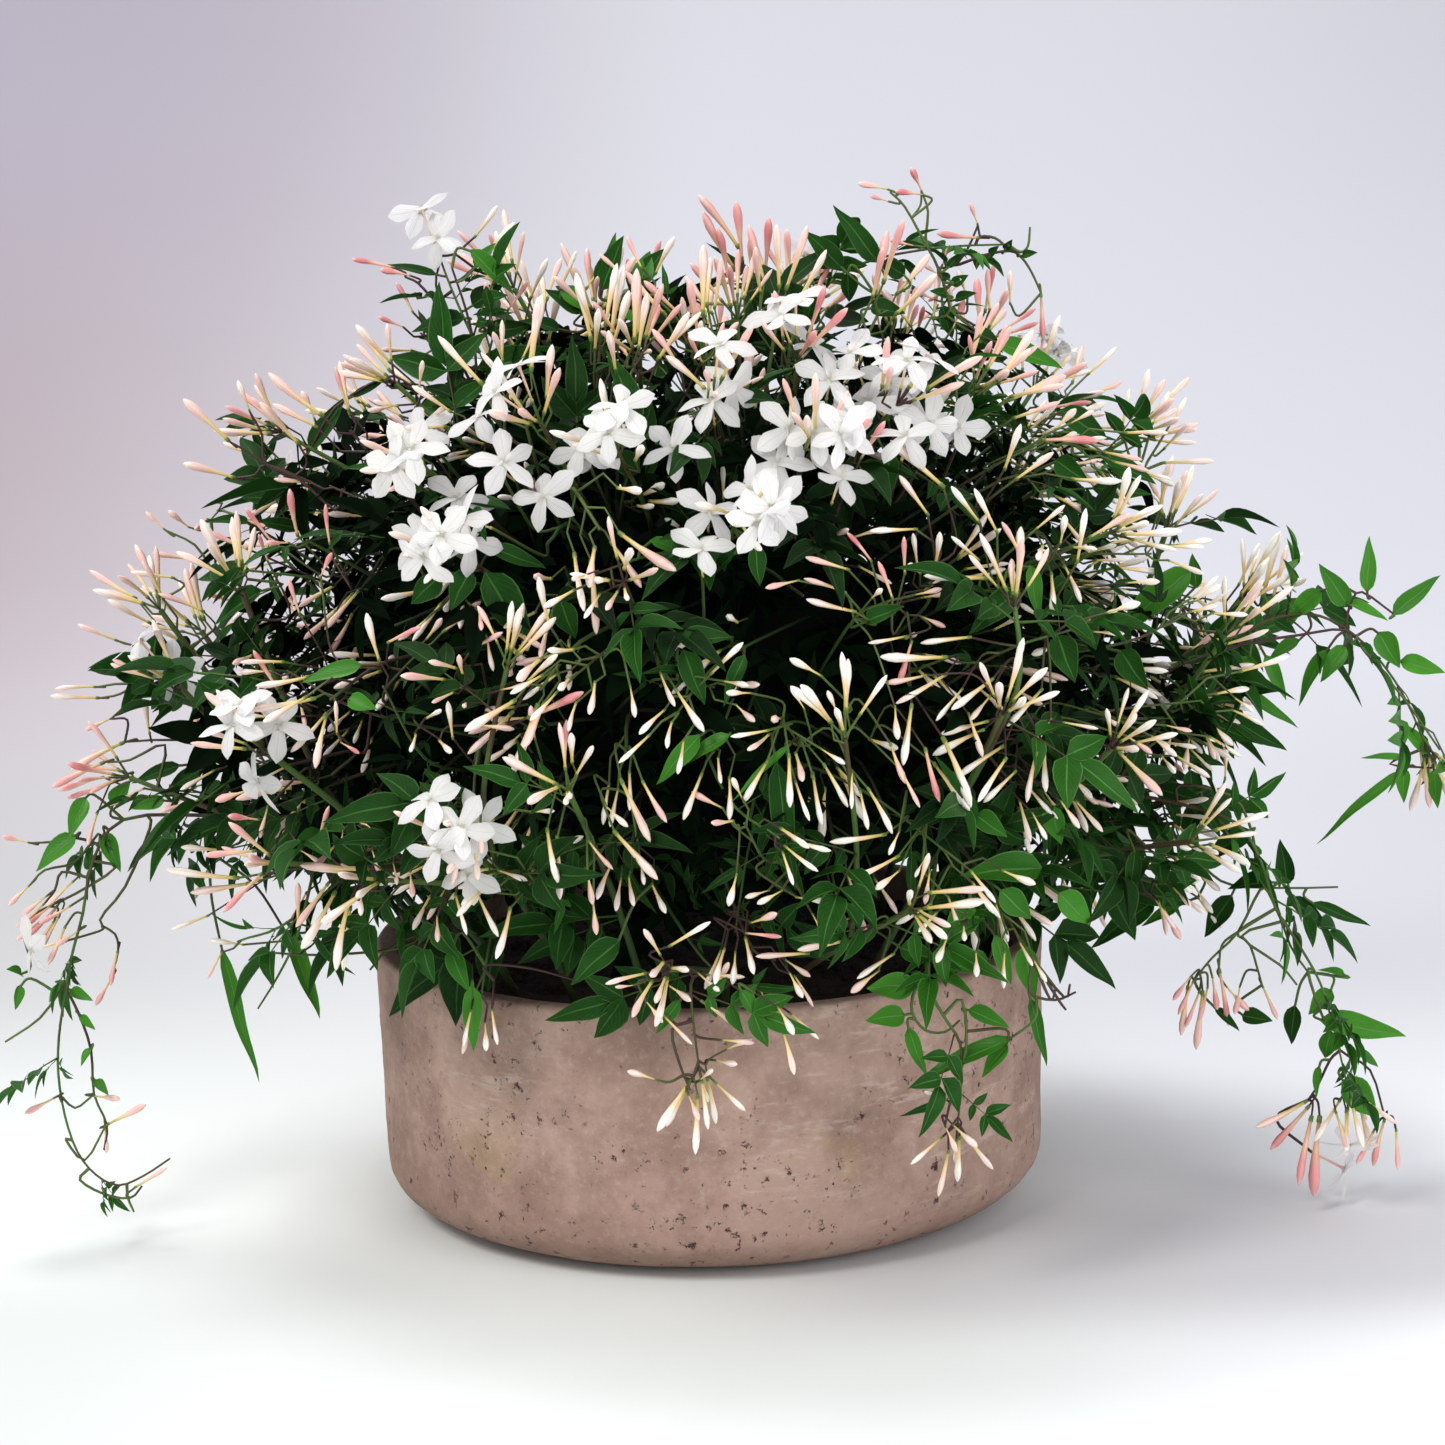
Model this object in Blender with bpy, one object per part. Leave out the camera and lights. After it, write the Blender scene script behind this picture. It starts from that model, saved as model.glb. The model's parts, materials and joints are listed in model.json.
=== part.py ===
"""Potted jasmine: a twining flowering plant in a low round stone pot.

The pot stands on z = 0 with the centre of its flat base at the origin.
The plant is a dome of leafy stems. A crown of shoots grows on a small leafy
core, and a ring of vines is rooted near the rim. Leafy stems and bud sprays
are fused into their own vine, and each bunch of open flowers is a node.
"""

import math
import random

import bmesh
import bpy
from mathutils import Matrix, Vector
from mathutils.bvhtree import BVHTree
from mathutils.kdtree import KDTree

# Pot, in metres
RIM_RADIUS = 0.130
POT_HEIGHT = 0.104
FOOT_RADIUS = 0.094
WALL_RADIUS_LOW = 0.1285
CORNER_HEIGHT = 0.0185
WALL_THICKNESS = 0.0085
WALL_LEAN = 0.003
INNER_CORNER_LOW, INNER_CORNER_HIGH = 0.018, 0.034
FLOOR_THICKNESS = 0.014
RIM_ROUNDING = 0.0022
POT_SIDES = 32

# Soil
GAP = 0.0003
SOIL_TOP = 0.090
SOIL_BUMPS = 0.0014
HOLE_FLOOR = 0.066
STEM_SIDES = 4

# Dome of foliage
CENTRE = Vector((0.0, 0.0, 0.190))
RADII = Vector((0.205, 0.180, 0.174))
CORE_REACH = 0.56
CORE_FLOOR = 0.110
CORE_BUMPS = 0.08
CORE_TUFT = 0.016
CORE_LEAVES = 32

# Stems
VINES = 24
VINE_TURN = 2.6
VINE_RING = 0.106
VINE_RADIUS = 0.0017
SHOOT_RADIUS = 0.0011
CROWN_STEMS = 6
CROWN_RING = 0.046
CROWN_RADIUS = 0.0026

# Bare stem before the first leaf
MAIN_BARE = 0.060
TRAIL_BARE = 0.020
SIDE_BARE = 0.012
CROWN_BARE = 0.050

# How far foliage keeps from other nodes, and from the pot and the floor
CLEARANCE = 0.00045
POT_CLEARANCE = 0.004

# Edges shorter than this are collapsed after a union
TINY_EDGE = 0.0009
TOUCHING = 2e-6

# Leaves, buds and flowers
LEAF_SPACING = 0.044
LEAF_LENGTH = 0.070
BUD_LENGTH = 0.026
BUD_RADIUS = 0.0018
HUB_RADIUS = 0.0012
HUB_AHEAD = 0.00035
STALK_LENGTH = 0.007
STALK_RADIUS = 0.0008
PETAL_RADIUS = 0.0128
TUBE_LENGTH = 0.015
JOINED = 0.019
TRIES = 10

# Shoots seen in the photograph: degrees around from the front towards +X,
# degrees up from the dome's middle, and reach as a share of its radius.
CROWN_SPRAYS = [
    (19, 74, 0.92), (-46, 75, 0.92), (-12, 62, 0.94), (54, 50, 0.96), (88, 36, 1.00),
    (56, 27, 0.98), (-8, 26, 0.98), (-90, 40, 1.00), (-62, 52, 0.98),
]
VINE_SPRAYS = [
    (86, 13, 1.04), (35, 20, 1.00), (31, 8, 1.00), (45, 2, 1.00), (14, 7, 1.00),
    (-13, 2, 1.00), (-20, 16, 0.98), (-34, -10, 1.00), (-4, -20, 1.00), (21, -14, 1.00),
    (-61, 22, 1.00), (-86, 15, 1.04), (-79, -4, 1.08), (-49, -10, 1.00), (60, -12, 1.02),
]
FRONT_BUNCHES = [
    (-36, 39, 1.00, 3), (-22, 46, 1.00, 2), (-28, 29, 1.00, 3), (-10, 42, 1.00, 2),
    (3, 50, 1.00, 1), (20, 57, 0.98, 2), (31, 47, 1.00, 3), (16, 42, 1.00, 2),
    (5, 33, 1.00, 3), (-24, -4, 1.02, 3), (-73, 8, 1.00, 1), (-48, 4, 1.02, 2),
]
BACK_SPRAYS = 15
BACK_BUNCHES = 8

# Long shoots: where they leave the plant, way-points in millimetres, and how
# many buds and open flowers they end in.
TRAILS = [
    (-75, [(-222, -24, 158), (-238, -34, 124), (-246, -40, 92), (-249, -45, 64),
           (-242, -54, 36), (-226, -60, 24), (-206, -60, 34)], 0, 0),
    (-75, [(-222, -44, 152), (-246, -50, 134)], 5, 1),
    (75, [(200, -46, 150), (214, -52, 118), (230, -58, 90), (240, -60, 50)], 4, 1),
    (90, [(209, -15, 218), (240, -20, 222), (264, -20, 198), (276, -20, 172)], 4, 0),
    (30, [(77, -154, 120), (88, -158, 98), (87, -154, 68)], 3, 0),
    (0, [(-6, -158, 122), (-4, -157, 92)], 5, 0),
    (-60, [(-150, -92, 128), (-166, -92, 100)], 0, 0),
    (None, [(-34, -18, 246), (-52, -26, 282), (-74, -28, 322), (-88, -18, 352), (-94, -12, 368)], 3, 1),
    (None, [(20, 5, 250), (34, 8, 300), (50, 8, 350), (84, 4, 364), (120, 0, 366)], 4, 0),
]


def start_clean():
    for thing in list(bpy.data.objects):
        bpy.data.objects.remove(thing, do_unlink=True)


def material(name, colour, roughness):
    made = bpy.data.materials.new(name)
    made.use_nodes = True
    shader = made.node_tree.nodes["Principled BSDF"]
    shader.inputs["Base Color"].default_value = (*colour, 1.0)
    shader.inputs["Roughness"].default_value = roughness
    return made


def dome(around, up, reach):
    """The point at an azimuth and an elevation of the dome."""
    a, u = math.radians(around), math.radians(up)
    way = Vector((math.cos(u) * math.sin(a), -math.cos(u) * math.cos(a), math.sin(u)))
    return CENTRE + Vector(way * RADII) * reach


def reach_of(point):
    away = point - CENTRE
    return Vector([away[k] / RADII[k] for k in range(3)]).length


def outward(point):
    away = point - CENTRE
    return Vector([away[k] / RADII[k] ** 2 for k in range(3)]).normalized()


def draw(*key):
    """A random generator of its own for each thing that is placed."""
    return random.Random("/".join(str(part) for part in key))


def jitter(dice, size):
    return Vector([dice.uniform(-size, size) for _ in range(3)])


def smooth_path(points, steps):
    """Points along a Catmull-Rom curve through the way-points."""
    ends = [points[0] * 2 - points[1]] + list(points) + [points[-1] * 2 - points[-2]]
    path = [points[0]]
    for a, b, c, d in zip(ends, ends[1:], ends[2:], ends[3:]):
        for step in range(1, steps + 1):
            t = step / steps
            path.append(0.5 * (2 * b + (c - a) * t + (2 * a - 5 * b + 4 * c - d) * t * t
                               + (3 * b - a - 3 * c + d) * t ** 3))
    return path


def along(path, distance):
    """The point and the direction at a distance from the path's start."""
    for a, b in zip(path, path[1:]):
        length = (b - a).length
        if distance <= length or b is path[-1]:
            return a.lerp(b, min(1.0, distance / length)), (b - a).normalized()
        distance -= length


def path_length(path):
    return sum((b - a).length for a, b in zip(path, path[1:]))


def tube(path, radii, sides):
    """A closed tube along a path, pointed where the last radius is zero."""
    points, faces, rings = [], [], []
    side = None
    for k, (point, radius) in enumerate(zip(path, radii)):
        way = (path[min(k + 1, len(path) - 1)] - path[max(k - 1, 0)]).normalized()
        if side is None:
            side = way.orthogonal()
        side = (side - way * side.dot(way)).normalized()
        if radius == 0:
            rings.append([len(points)])
            points.append(point)
            continue
        rings.append(list(range(len(points), len(points) + sides)))
        for turn in range(sides):
            spin = Matrix.Rotation(math.tau * turn / sides, 3, way)
            points.append(point + spin @ side * radius)
    faces.append(tuple(reversed(rings[0])))
    for low, high in zip(rings, rings[1:]):
        for a in range(sides):
            b = (a + 1) % sides
            if len(high) == 1:
                faces.append((low[a], low[b], high[0]))
            else:
                faces.append((low[a], low[b], high[b], high[a]))
    if len(rings[-1]) > 1:
        faces.append(tuple(rings[-1]))
    return points, faces


def fan(middle, ring):
    return [(middle, a, b) for a, b in zip(ring, ring[1:])]


def axes_for(way, face):
    """A frame with X along the way and Z as near to the face as it can be."""
    x = way.normalized()
    y = face.cross(x).normalized()
    return x, y, x.cross(y)


# A leaf with a side pair and an end leaflet, in shares of its length:
# each corner's place along the stalk, sideways and above it.
LEAF_CORNERS = {
    "stalk_l": (0.0, 0.009, 0.005), "stalk_r": (0.0, -0.009, 0.005), "stalk_b": (0.0, 0.0, -0.009),
    "back_l": (0.27, 0.018, 0.0), "front_l": (0.36, 0.024, 0.0),
    "back_r": (0.27, -0.018, 0.0), "front_r": (0.36, -0.024, 0.0),
    "top": (0.31, 0.0, 0.013), "under": (0.31, 0.0, -0.004),
    "l_back": (0.30, 0.21, 0.0), "l_front": (0.47, 0.12, 0.0), "l_tip": (0.50, 0.35, -0.04),
    "r_back": (0.30, -0.21, 0.0), "r_front": (0.47, -0.12, 0.0), "r_tip": (0.50, -0.35, -0.04),
    "l_top": (0.39, 0.16, 0.013), "r_top": (0.39, -0.16, 0.013),
    "end_l": (0.64, 0.125, -0.02), "end_r": (0.64, -0.125, -0.02),
    "end_top": (0.64, 0.0, -0.006), "tip": (1.0, 0.0, -0.13),
}


def leaf_faces():
    """Fans of triangles round a ridge point on each leaflet, and flat undersides."""
    left = ["back_l", "front_l", "l_front", "l_tip", "l_back"]
    right = ["front_r", "back_r", "r_back", "r_tip", "r_front"]
    end = ["front_l", "front_r", "end_r", "tip", "end_l"]
    above = ["stalk_r", "back_r", "r_top", "front_r", "end_top", "front_l", "l_top", "back_l",
             "stalk_l", "stalk_r"]
    below = ["stalk_r", "stalk_b", "stalk_l", "back_l", "front_l", "front_r", "back_r", "stalk_r"]
    faces = fan("top", above) + fan("under", below) + [("stalk_r", "stalk_l", "stalk_b")]
    for ridge, edge in (("l_top", left), ("r_top", right), ("end_top", end)):
        faces += fan(ridge, edge[1:] + edge[:1])
        faces += fan(edge[0], edge[:0:-1])
    place = {name: k for k, name in enumerate(LEAF_CORNERS)}
    return [tuple(place[name] for name in face) for face in faces]


def leaf(at, way, face, length):
    x, y, z = axes_for(way, face)
    points = []
    for ahead, aside, above in LEAF_CORNERS.values():
        points.append(at + (x * ahead + y * aside + z * above) * length)
    return points, leaf_faces()


def cluster(at, way, arms):
    """Buds and flower stalks in one piece, each drawn out of a face of a hub.

    An arm is (direction, length, is a bud); the hub has eight faces.
    """
    bm = bmesh.new()
    bmesh.ops.create_uvsphere(bm, u_segments=4, v_segments=2, radius=HUB_RADIUS)
    turn = way.to_track_quat("Z", "X")
    bmesh.ops.rotate(bm, verts=bm.verts, matrix=turn.to_matrix(), cent=(0, 0, 0))
    bmesh.ops.translate(bm, verts=bm.verts, vec=at)
    bm.normal_update()
    free = list(bm.faces)
    for aim, length, is_bud in arms:
        face = max(free, key=lambda one: one.normal.dot(aim))
        free.remove(face)
        made = bmesh.ops.extrude_discrete_faces(bm, faces=[face])["faces"][0]
        reach = length * 0.74 if is_bud else length
        radius = BUD_RADIUS if is_bud else STALK_RADIUS
        middle = face_middle(made)
        for vert in made.verts:
            side = vert.co - middle
            side = (side - aim * side.dot(aim)).normalized()
            vert.co = at + aim * reach + side * radius
        if is_bud:
            tip = bmesh.ops.poke(bm, faces=[made])["verts"][0]
            tip.co = at + aim * length
    bm.verts.index_update()
    points = [vert.co.copy() for vert in bm.verts]
    faces = [tuple(vert.index for vert in face.verts) for face in bm.faces]
    bm.free()
    return points, faces


def crosses_itself(piece):
    """Whether two faces that share no corner cut each other."""
    points, faces = piece
    tree = BVHTree.FromPolygons(points, faces)
    return any(not set(faces[a]) & set(faces[b]) for a, b in tree.overlap(tree))


def face_middle(face):
    return sum((vert.co for vert in face.verts), Vector()) / len(face.verts)


def flower(at, way, turn):
    """Five pointed petals on a slender tube, with the tube's foot at the point."""
    x, y, z = axes_for(way.orthogonal(), way)
    throat = at + way * TUBE_LENGTH

    def spot(degrees, radius, height):
        a = math.radians(degrees) + turn
        return throat + (x * math.cos(a) + y * math.sin(a)) * radius + way * height

    points = [throat + way * 0.0009]
    points += [spot(72 * k, 0.0007, -TUBE_LENGTH) for k in range(5)]
    points += [spot(72 * k, 0.0013, -0.0016) for k in range(5)]
    outline = []
    for k in range(5):
        middle = 72 * k
        outline += [spot(middle - 36, 0.0036, 0.0), spot(middle - 25, 0.0082, 0.0006),
                    spot(middle, PETAL_RADIUS, -0.0004), spot(middle + 25, 0.0082, 0.0006)]
    points += outline
    edge = [11 + k for k in range(20)]
    faces = fan(0, edge + edge[:1]) + [(5, 4, 3, 2, 1)]
    for k in range(5):
        n = (k + 1) % 5
        petal = edge[4 * k:4 * k + 4] + [edge[4 * n]]
        faces += fan(6 + k, petal[::-1])
        faces += [(6 + k, edge[4 * n], 6 + n), (1 + k, 1 + n, 6 + n, 6 + k)]
    return points, faces


class Garden:
    """The pieces placed so far, with the node that each one belongs to."""

    def __init__(self):
        self.pieces = {}
        self.placed = []

    def blocked(self, piece, node, parents=()):
        """Whether a piece meets anything but its parents and its own root."""
        points, faces = piece
        if node != "crown" and node != "pot":
            if any(reach_of(point) < CORE_REACH * (1 - CORE_BUMPS) for point in points):
                return True
        if any(in_pot_or_floor(point) for point in points):
            return True
        low, high = box(points)
        tree = BVHTree.FromPolygons(points, faces)
        for owner, other_low, other_high, other_tree, other in self.placed:
            if apart(low, high, other_low, other_high) or any(other is one for one in parents):
                continue
            if tree.overlap(other_tree):
                return True
            if owner != node and (too_close(points, other_tree) or too_close(other[0], tree)):
                return True
        return False

    def add(self, piece, node):
        points, faces = piece
        low, high = box(points)
        tree = BVHTree.FromPolygons(points, faces)
        self.placed.append((node, low, high, tree, piece))
        if node != "pot":
            self.pieces.setdefault(node, []).append(piece)

    def place(self, piece, node, parents=()):
        if self.blocked(piece, node, parents):
            return False
        self.add(piece, node)
        return True


def box(points):
    return [[pick(point[k] for point in points) for k in range(3)] for pick in (min, max)]


def apart(low, high, other_low, other_high):
    return any(low[k] > other_high[k] + 2 * GAP or other_low[k] > high[k] + 2 * GAP
               for k in range(3))


def too_close(points, tree):
    return any(tree.find_nearest(point, CLEARANCE)[0] is not None for point in points)


def in_pot_or_floor(point):
    """Whether a point is under the table's top or in the pot's wall or soil."""
    radius = math.hypot(point.x, point.y)
    if point.z < POT_CLEARANCE:
        return True
    if radius > RIM_RADIUS + POT_CLEARANCE or point.z > POT_HEIGHT + POT_CLEARANCE:
        return False
    inside = RIM_RADIUS - WALL_THICKNESS - POT_CLEARANCE
    return radius > inside or point.z < SOIL_TOP + POT_CLEARANCE


def leaf_at(garden, node, stem, spot, way, key, spread=0.8, rise=0.5):
    """Place one leaf where it clears the other nodes, in a few tries."""
    for attempt in range(TRIES):
        dice = draw("leaf", node, *key, attempt)
        out = outward(spot)
        side = way.cross(out).normalized() * dice.choice((-1, 1))
        aim = side * spread + way * 0.3 + out * rise + jitter(dice, 0.45)
        aim.z -= 0.22
        face = out + Vector((0, 0, 0.7)) + jitter(dice, 0.4)
        length = LEAF_LENGTH * dice.uniform(0.85, 1.15)
        if garden.place(leaf(spot, aim, face, length), node, [stem]):
            return True
    return False


def leaves_on(garden, node, stem, path, start, key):
    """Leaves spaced along a stem, from a start distance to near its end."""
    end = path_length(path) - 0.016
    count = max(1, round((end - start) / LEAF_SPACING))
    for k in range(count):
        spot, way = along(path, start + (end - start) * (k + 0.5) / count)
        leaf_at(garden, node, stem, spot, way, (*key, k))


def draw_arms(way, buds, flowers, dice):
    """Directions for the flower stalks, near the stem's line, and the buds."""
    arms = []
    across = way.orthogonal().normalized()
    for k in range(flowers + buds):
        turn = Matrix.Rotation(math.radians(90 * k + 45) + dice.uniform(-0.3, 0.3), 3, way)
        lean = 0.42 if k < flowers and flowers > 1 else 0.75 + 0.25 * (k // 4)
        if flowers == 1 and k == 0:
            lean = 0.3
        aim = (way + turn @ across * lean + jitter(dice, 0.1)).normalized()
        if k < flowers:
            arms.append((aim, STALK_LENGTH, False))
        else:
            arms.append((aim, BUD_LENGTH * dice.uniform(0.85, 1.1), True))
    return arms


def grow_end(garden, node, stem, path, buds, flowers, key):
    """A cluster of buds at the end of a stem, with open flowers off its stalks."""
    end, way = along(path, path_length(path))
    end += way * HUB_AHEAD
    for attempt in range(TRIES * 3):
        dice = draw("cluster", node, *key, attempt)
        few = max(2, buds - attempt // TRIES) if buds else 0
        arms = draw_arms(way, few, flowers, dice)
        piece = cluster(end, way, arms)
        if crosses_itself(piece) or garden.blocked(piece, node, [stem]):
            continue
        opened = []
        for number, (aim, length, is_bud) in enumerate(arms[:flowers]):
            foot = end + aim * (length + GAP)
            bloom = open_flower(garden, foot, aim, opened, (*key, number), [piece, stem])
            if bloom:
                opened.append(bloom)
        if len(opened) < min(flowers, 1):
            continue
        garden.add(piece, node)
        for bloom, one in opened:
            garden.add(one, bloom)
            garden.blooms = max(garden.blooms, int(bloom[-2:]))
        return


def open_flower(garden, foot, aim, opened, key, below):
    """An open flower on a stalk, fused to the last one if the two cross."""
    for attempt in range(TRIES):
        piece = flower(foot, aim, draw("flower", *key, attempt).uniform(0, 1.2))
        near = [old for old in opened if (old[1][0][0] - piece[0][0]).length < JOINED]
        number = max([garden.blooms] + [int(old[0][-2:]) for old in opened]) + 1
        bloom = near[0][0] if near else f"bloom_{number:02d}"
        tree = BVHTree.FromPolygons(*piece)
        if near and not tree.overlap(BVHTree.FromPolygons(*near[0][1])):
            continue
        apart_from = below + [old[1] for old in opened if old not in near[:1]]
        if any(tree.overlap(BVHTree.FromPolygons(*other)) for other in apart_from):
            continue
        if not garden.blocked(piece, bloom):
            return bloom, piece
    return None


def vine_around(k):
    """A vine's place around the pot, from -180 to 180 degrees."""
    return (360 * k / VINES + VINE_TURN + 180) % 360 - 180


def ring_spot(degrees, radius):
    a = math.radians(degrees)
    return Vector((math.sin(a), -math.cos(a), 0)) * radius


def vine_feet():
    """Where the vines stand in the soil, with the stems' radius."""
    return [(ring_spot(vine_around(k), VINE_RING), VINE_RADIUS) for k in range(VINES)]


def crown_feet():
    return [(ring_spot(360 * (k + 0.6) / CROWN_STEMS, CROWN_RING), CROWN_RADIUS)
            for k in range(CROWN_STEMS)]


def vine_waypoints(around, hub):
    """From the root in the soil, over the rim and up the dome to the hub."""
    root = ring_spot(around, VINE_RING)
    points = [root + Vector((0, 0, HOLE_FLOOR + GAP)), root + Vector((0, 0, SOIL_TOP + 0.006))]
    points.append(ring_spot(around, VINE_RING + 0.010) + Vector((0, 0, 0.114)))
    if hub[1] > -14:
        turn = (hub[0] - around + 180) % 360 - 180
        points.append(dome(around + 0.4 * turn, (hub[1] - 30) / 2, 0.80))
    points.append(dome(*hub))
    return points


def nearest_vine(around):
    return round((around - VINE_TURN) * VINES / 360) % VINES


def side_shoot(start, hub, dice, steps):
    """A path from a stem out to a hub, bowed sideways by a drawn amount."""
    middle = start.lerp(hub, 0.5)
    middle += outward(middle) * 0.008 + jitter(dice, 0.006)
    return smooth_path([start, middle, hub], steps)


def taper(path, start, end):
    return [start + (end - start) * k / (len(path) - 1) for k in range(len(path))]


def plan_hubs():
    """What each vine carries, and what the crown does: hub, buds, flowers."""
    hubs = [(hub, 5, 0) for hub in CROWN_SPRAYS + VINE_SPRAYS]
    hubs += [(tuple(hub), 2, flowers) for *hub, flowers in FRONT_BUNCHES]
    for k in range(BACK_SPRAYS):
        around = 105 + 150 * ((k * 0.618 + 0.3) % 1.0)
        hubs.append(((around, -20 + 92 * (k + 0.5) / BACK_SPRAYS, 1.0), 4, 0))
    for k in range(BACK_BUNCHES):
        around = 105 + 150 * ((k * 0.618) % 1.0)
        hubs.append(((around, -4 + 66 * (k + 0.5) / BACK_BUNCHES, 1.0), 2, 1 + k % 3))
    crown, vines = [], {k: [] for k in range(VINES)}
    for plan in hubs:
        if plan[0][1] > 24:
            crown.append(plan)
        else:
            vines[nearest_vine(plan[0][0])].append(plan)
    return crown, vines


def grow_vines(garden, vines):
    """Main stems first, then side shoots, so that the stems keep clear."""
    ends, mains = [], {}
    for k, plans in vines.items():
        node = f"vine_{k + 1:02d}"
        around = vine_around(k)
        if not plans:
            plans.append(((around, 10 if k % 2 else -18, 1.0), 3, 0))
        plans.sort(key=lambda plan: abs((plan[0][0] - around + 180) % 360 - 180))
        hub, buds, flowers = plans[0]
        foot, *upper = vine_waypoints(around, hub)
        path = [foot] + smooth_path(upper, 2)
        stem = tube(path, taper(path, VINE_RADIUS, SHOOT_RADIUS), STEM_SIDES)
        garden.add(stem, node)
        mains[k] = (node, stem, path)
        ends.append((node, stem, path, MAIN_BARE, buds, flowers, (k, 0)))
    for number, (around, stops, buds, flowers) in enumerate(TRAILS):
        if around is not None:
            node, parent, main = mains[nearest_vine(around)]
            start = along(main, path_length(main) * 0.6)[0]
            path = smooth_path([start] + [Vector(stop) / 1000 for stop in stops], 2)
            ends += shoot(garden, node, parent, [path], TRAIL_BARE, buds, flowers,
                          ("trail", number))
    for k, plans in vines.items():
        node, parent, main = mains[k]
        for number, (hub, buds, flowers) in enumerate(plans[1:], 1):
            paths = []
            for attempt in range(TRIES):
                dice = draw("shoot", k, number, attempt)
                start = along(main, path_length(main) * dice.uniform(0.5, 0.75))[0]
                paths.append(side_shoot(start, dome(*hub), dice, 2))
            ends += shoot(garden, node, parent, paths, SIDE_BARE, buds, flowers, (k, number))
    return ends


def shoot(garden, node, parent, paths, bare, buds, flowers, key):
    """The first of some paths that is clear, as a stem with its plan."""
    for path in paths:
        stem = tube(path, taper(path, SHOOT_RADIUS, 0.0009), 3)
        if garden.place(stem, node, [parent]):
            return [(node, stem, path, bare, buds, flowers, key)]
    return []


def grow_crown(garden, crown):
    ends = []
    for foot, radius in crown_feet():
        path = [foot + Vector((0, 0, height)) for height in
                (HOLE_FLOOR + GAP, SOIL_TOP + 0.006, CORE_FLOOR + 0.02)]
        garden.add(tube(path, [radius] * 3, STEM_SIDES), "crown")
    for number, (around, stops, buds, flowers) in enumerate(TRAILS):
        if around is None:
            path = smooth_path([Vector(stop) / 1000 for stop in stops], 2)
            ends += shoot(garden, "crown", garden.core, [path], CROWN_BARE, buds, flowers,
                          ("trail", number))
    for number, (hub, buds, flowers) in enumerate(crown):
        paths = []
        for attempt in range(TRIES):
            dice = draw("crown", number, attempt)
            start = dome(hub[0], hub[1] + dice.uniform(-4, 4), CORE_REACH - 0.12)
            paths.append(side_shoot(start, dome(*hub), dice, 1))
        ends += shoot(garden, "crown", garden.core, paths, CROWN_BARE, buds, flowers,
                      ("crown", number))
    return ends


def leaves_on_core(garden):
    """Leaves spread evenly over the core, standing out of it."""
    for k in range(CORE_LEAVES):
        up = math.degrees(math.asin(-0.35 + 1.3 * (k + 0.5) / CORE_LEAVES))
        around = 360 * ((k * 0.618034) % 1.0)
        spot = dome(around, up, CORE_REACH - 0.06)
        leaf_at(garden, "crown", garden.core, spot, Vector((0, 0, 1)), ("core", k), 1.0, 1.0)


def core():
    """A small lump of close foliage, drawn out in leafy points all over."""
    bm = bmesh.new()
    bmesh.ops.create_icosphere(bm, subdivisions=2, radius=1.0)
    dice = draw("core")
    for vert in bm.verts:
        size = CORE_REACH * (1 + dice.uniform(-CORE_BUMPS, CORE_BUMPS))
        vert.co = CENTRE + Vector(vert.co * RADII) * size
        vert.co.z = max(vert.co.z, CORE_FLOOR)
    for face in list(bm.faces):
        if face_middle(face).z > CORE_FLOOR + 0.004:
            tip = bmesh.ops.poke(bm, faces=[face])["verts"][0]
            tip.co += outward(tip.co) * CORE_TUFT + jitter(dice, 0.009)
            tip.co.z = max(tip.co.z, CORE_FLOOR + 0.003)
    bm.verts.index_update()
    points = [vert.co.copy() for vert in bm.verts]
    faces = [tuple(vert.index for vert in face.verts) for face in bm.faces]
    bm.free()
    return points, faces


def mesh_object(name, piece, slot):
    mesh = bpy.data.meshes.new(name)
    points, faces = piece
    mesh.from_pydata([tuple(point) for point in points], [], faces)
    bm = bmesh.new()
    bm.from_mesh(mesh)
    bmesh.ops.recalc_face_normals(bm, faces=bm.faces)
    bm.to_mesh(mesh)
    bm.free()
    mesh.materials.append(slot)
    made = bpy.data.objects.new(name, mesh)
    bpy.context.scene.collection.objects.link(made)
    return made


def lathe(name, profile, slot):
    """A round solid spun from its profile of (radius, height) pairs."""
    bm = bmesh.new()
    verts = [bm.verts.new((radius, 0, height)) for radius, height in profile]
    edges = [bm.edges.new(pair) for pair in zip(verts, verts[1:])]
    bmesh.ops.spin(bm, geom=verts + edges, axis=(0, 0, 1), cent=(0, 0, 0), angle=math.tau,
                   steps=POT_SIDES)
    bmesh.ops.remove_doubles(bm, verts=bm.verts, dist=1e-6)
    bmesh.ops.recalc_face_normals(bm, faces=bm.faces)
    mesh = bpy.data.meshes.new(name)
    bm.to_mesh(mesh)
    bm.free()
    mesh.materials.append(slot)
    made = bpy.data.objects.new(name, mesh)
    bpy.context.scene.collection.objects.link(made)
    return made


def wall_inside(height):
    """The pot's inner radius: the wall leans in a little towards the floor."""
    return RIM_RADIUS - WALL_THICKNESS - WALL_LEAN * (1 - height / POT_HEIGHT)


def inner_corner():
    """The rounded corner between the pot's floor and its wall, as (radius, height)."""
    low, high = INNER_CORNER_LOW, INNER_CORNER_HIGH
    return [(wall_inside(low) - low, FLOOR_THICKNESS), (wall_inside(low) - low / 3, low),
            (wall_inside(high), high)]


def rounding(radius, inwards):
    """The rim's rounded edge, from the wall to the flat top."""
    step, top = RIM_ROUNDING, POT_HEIGHT
    return [(radius, top - 2 * step), (radius - 0.3 * step * inwards, top - 0.7 * step),
            (radius - step * inwards, top)]


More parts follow.
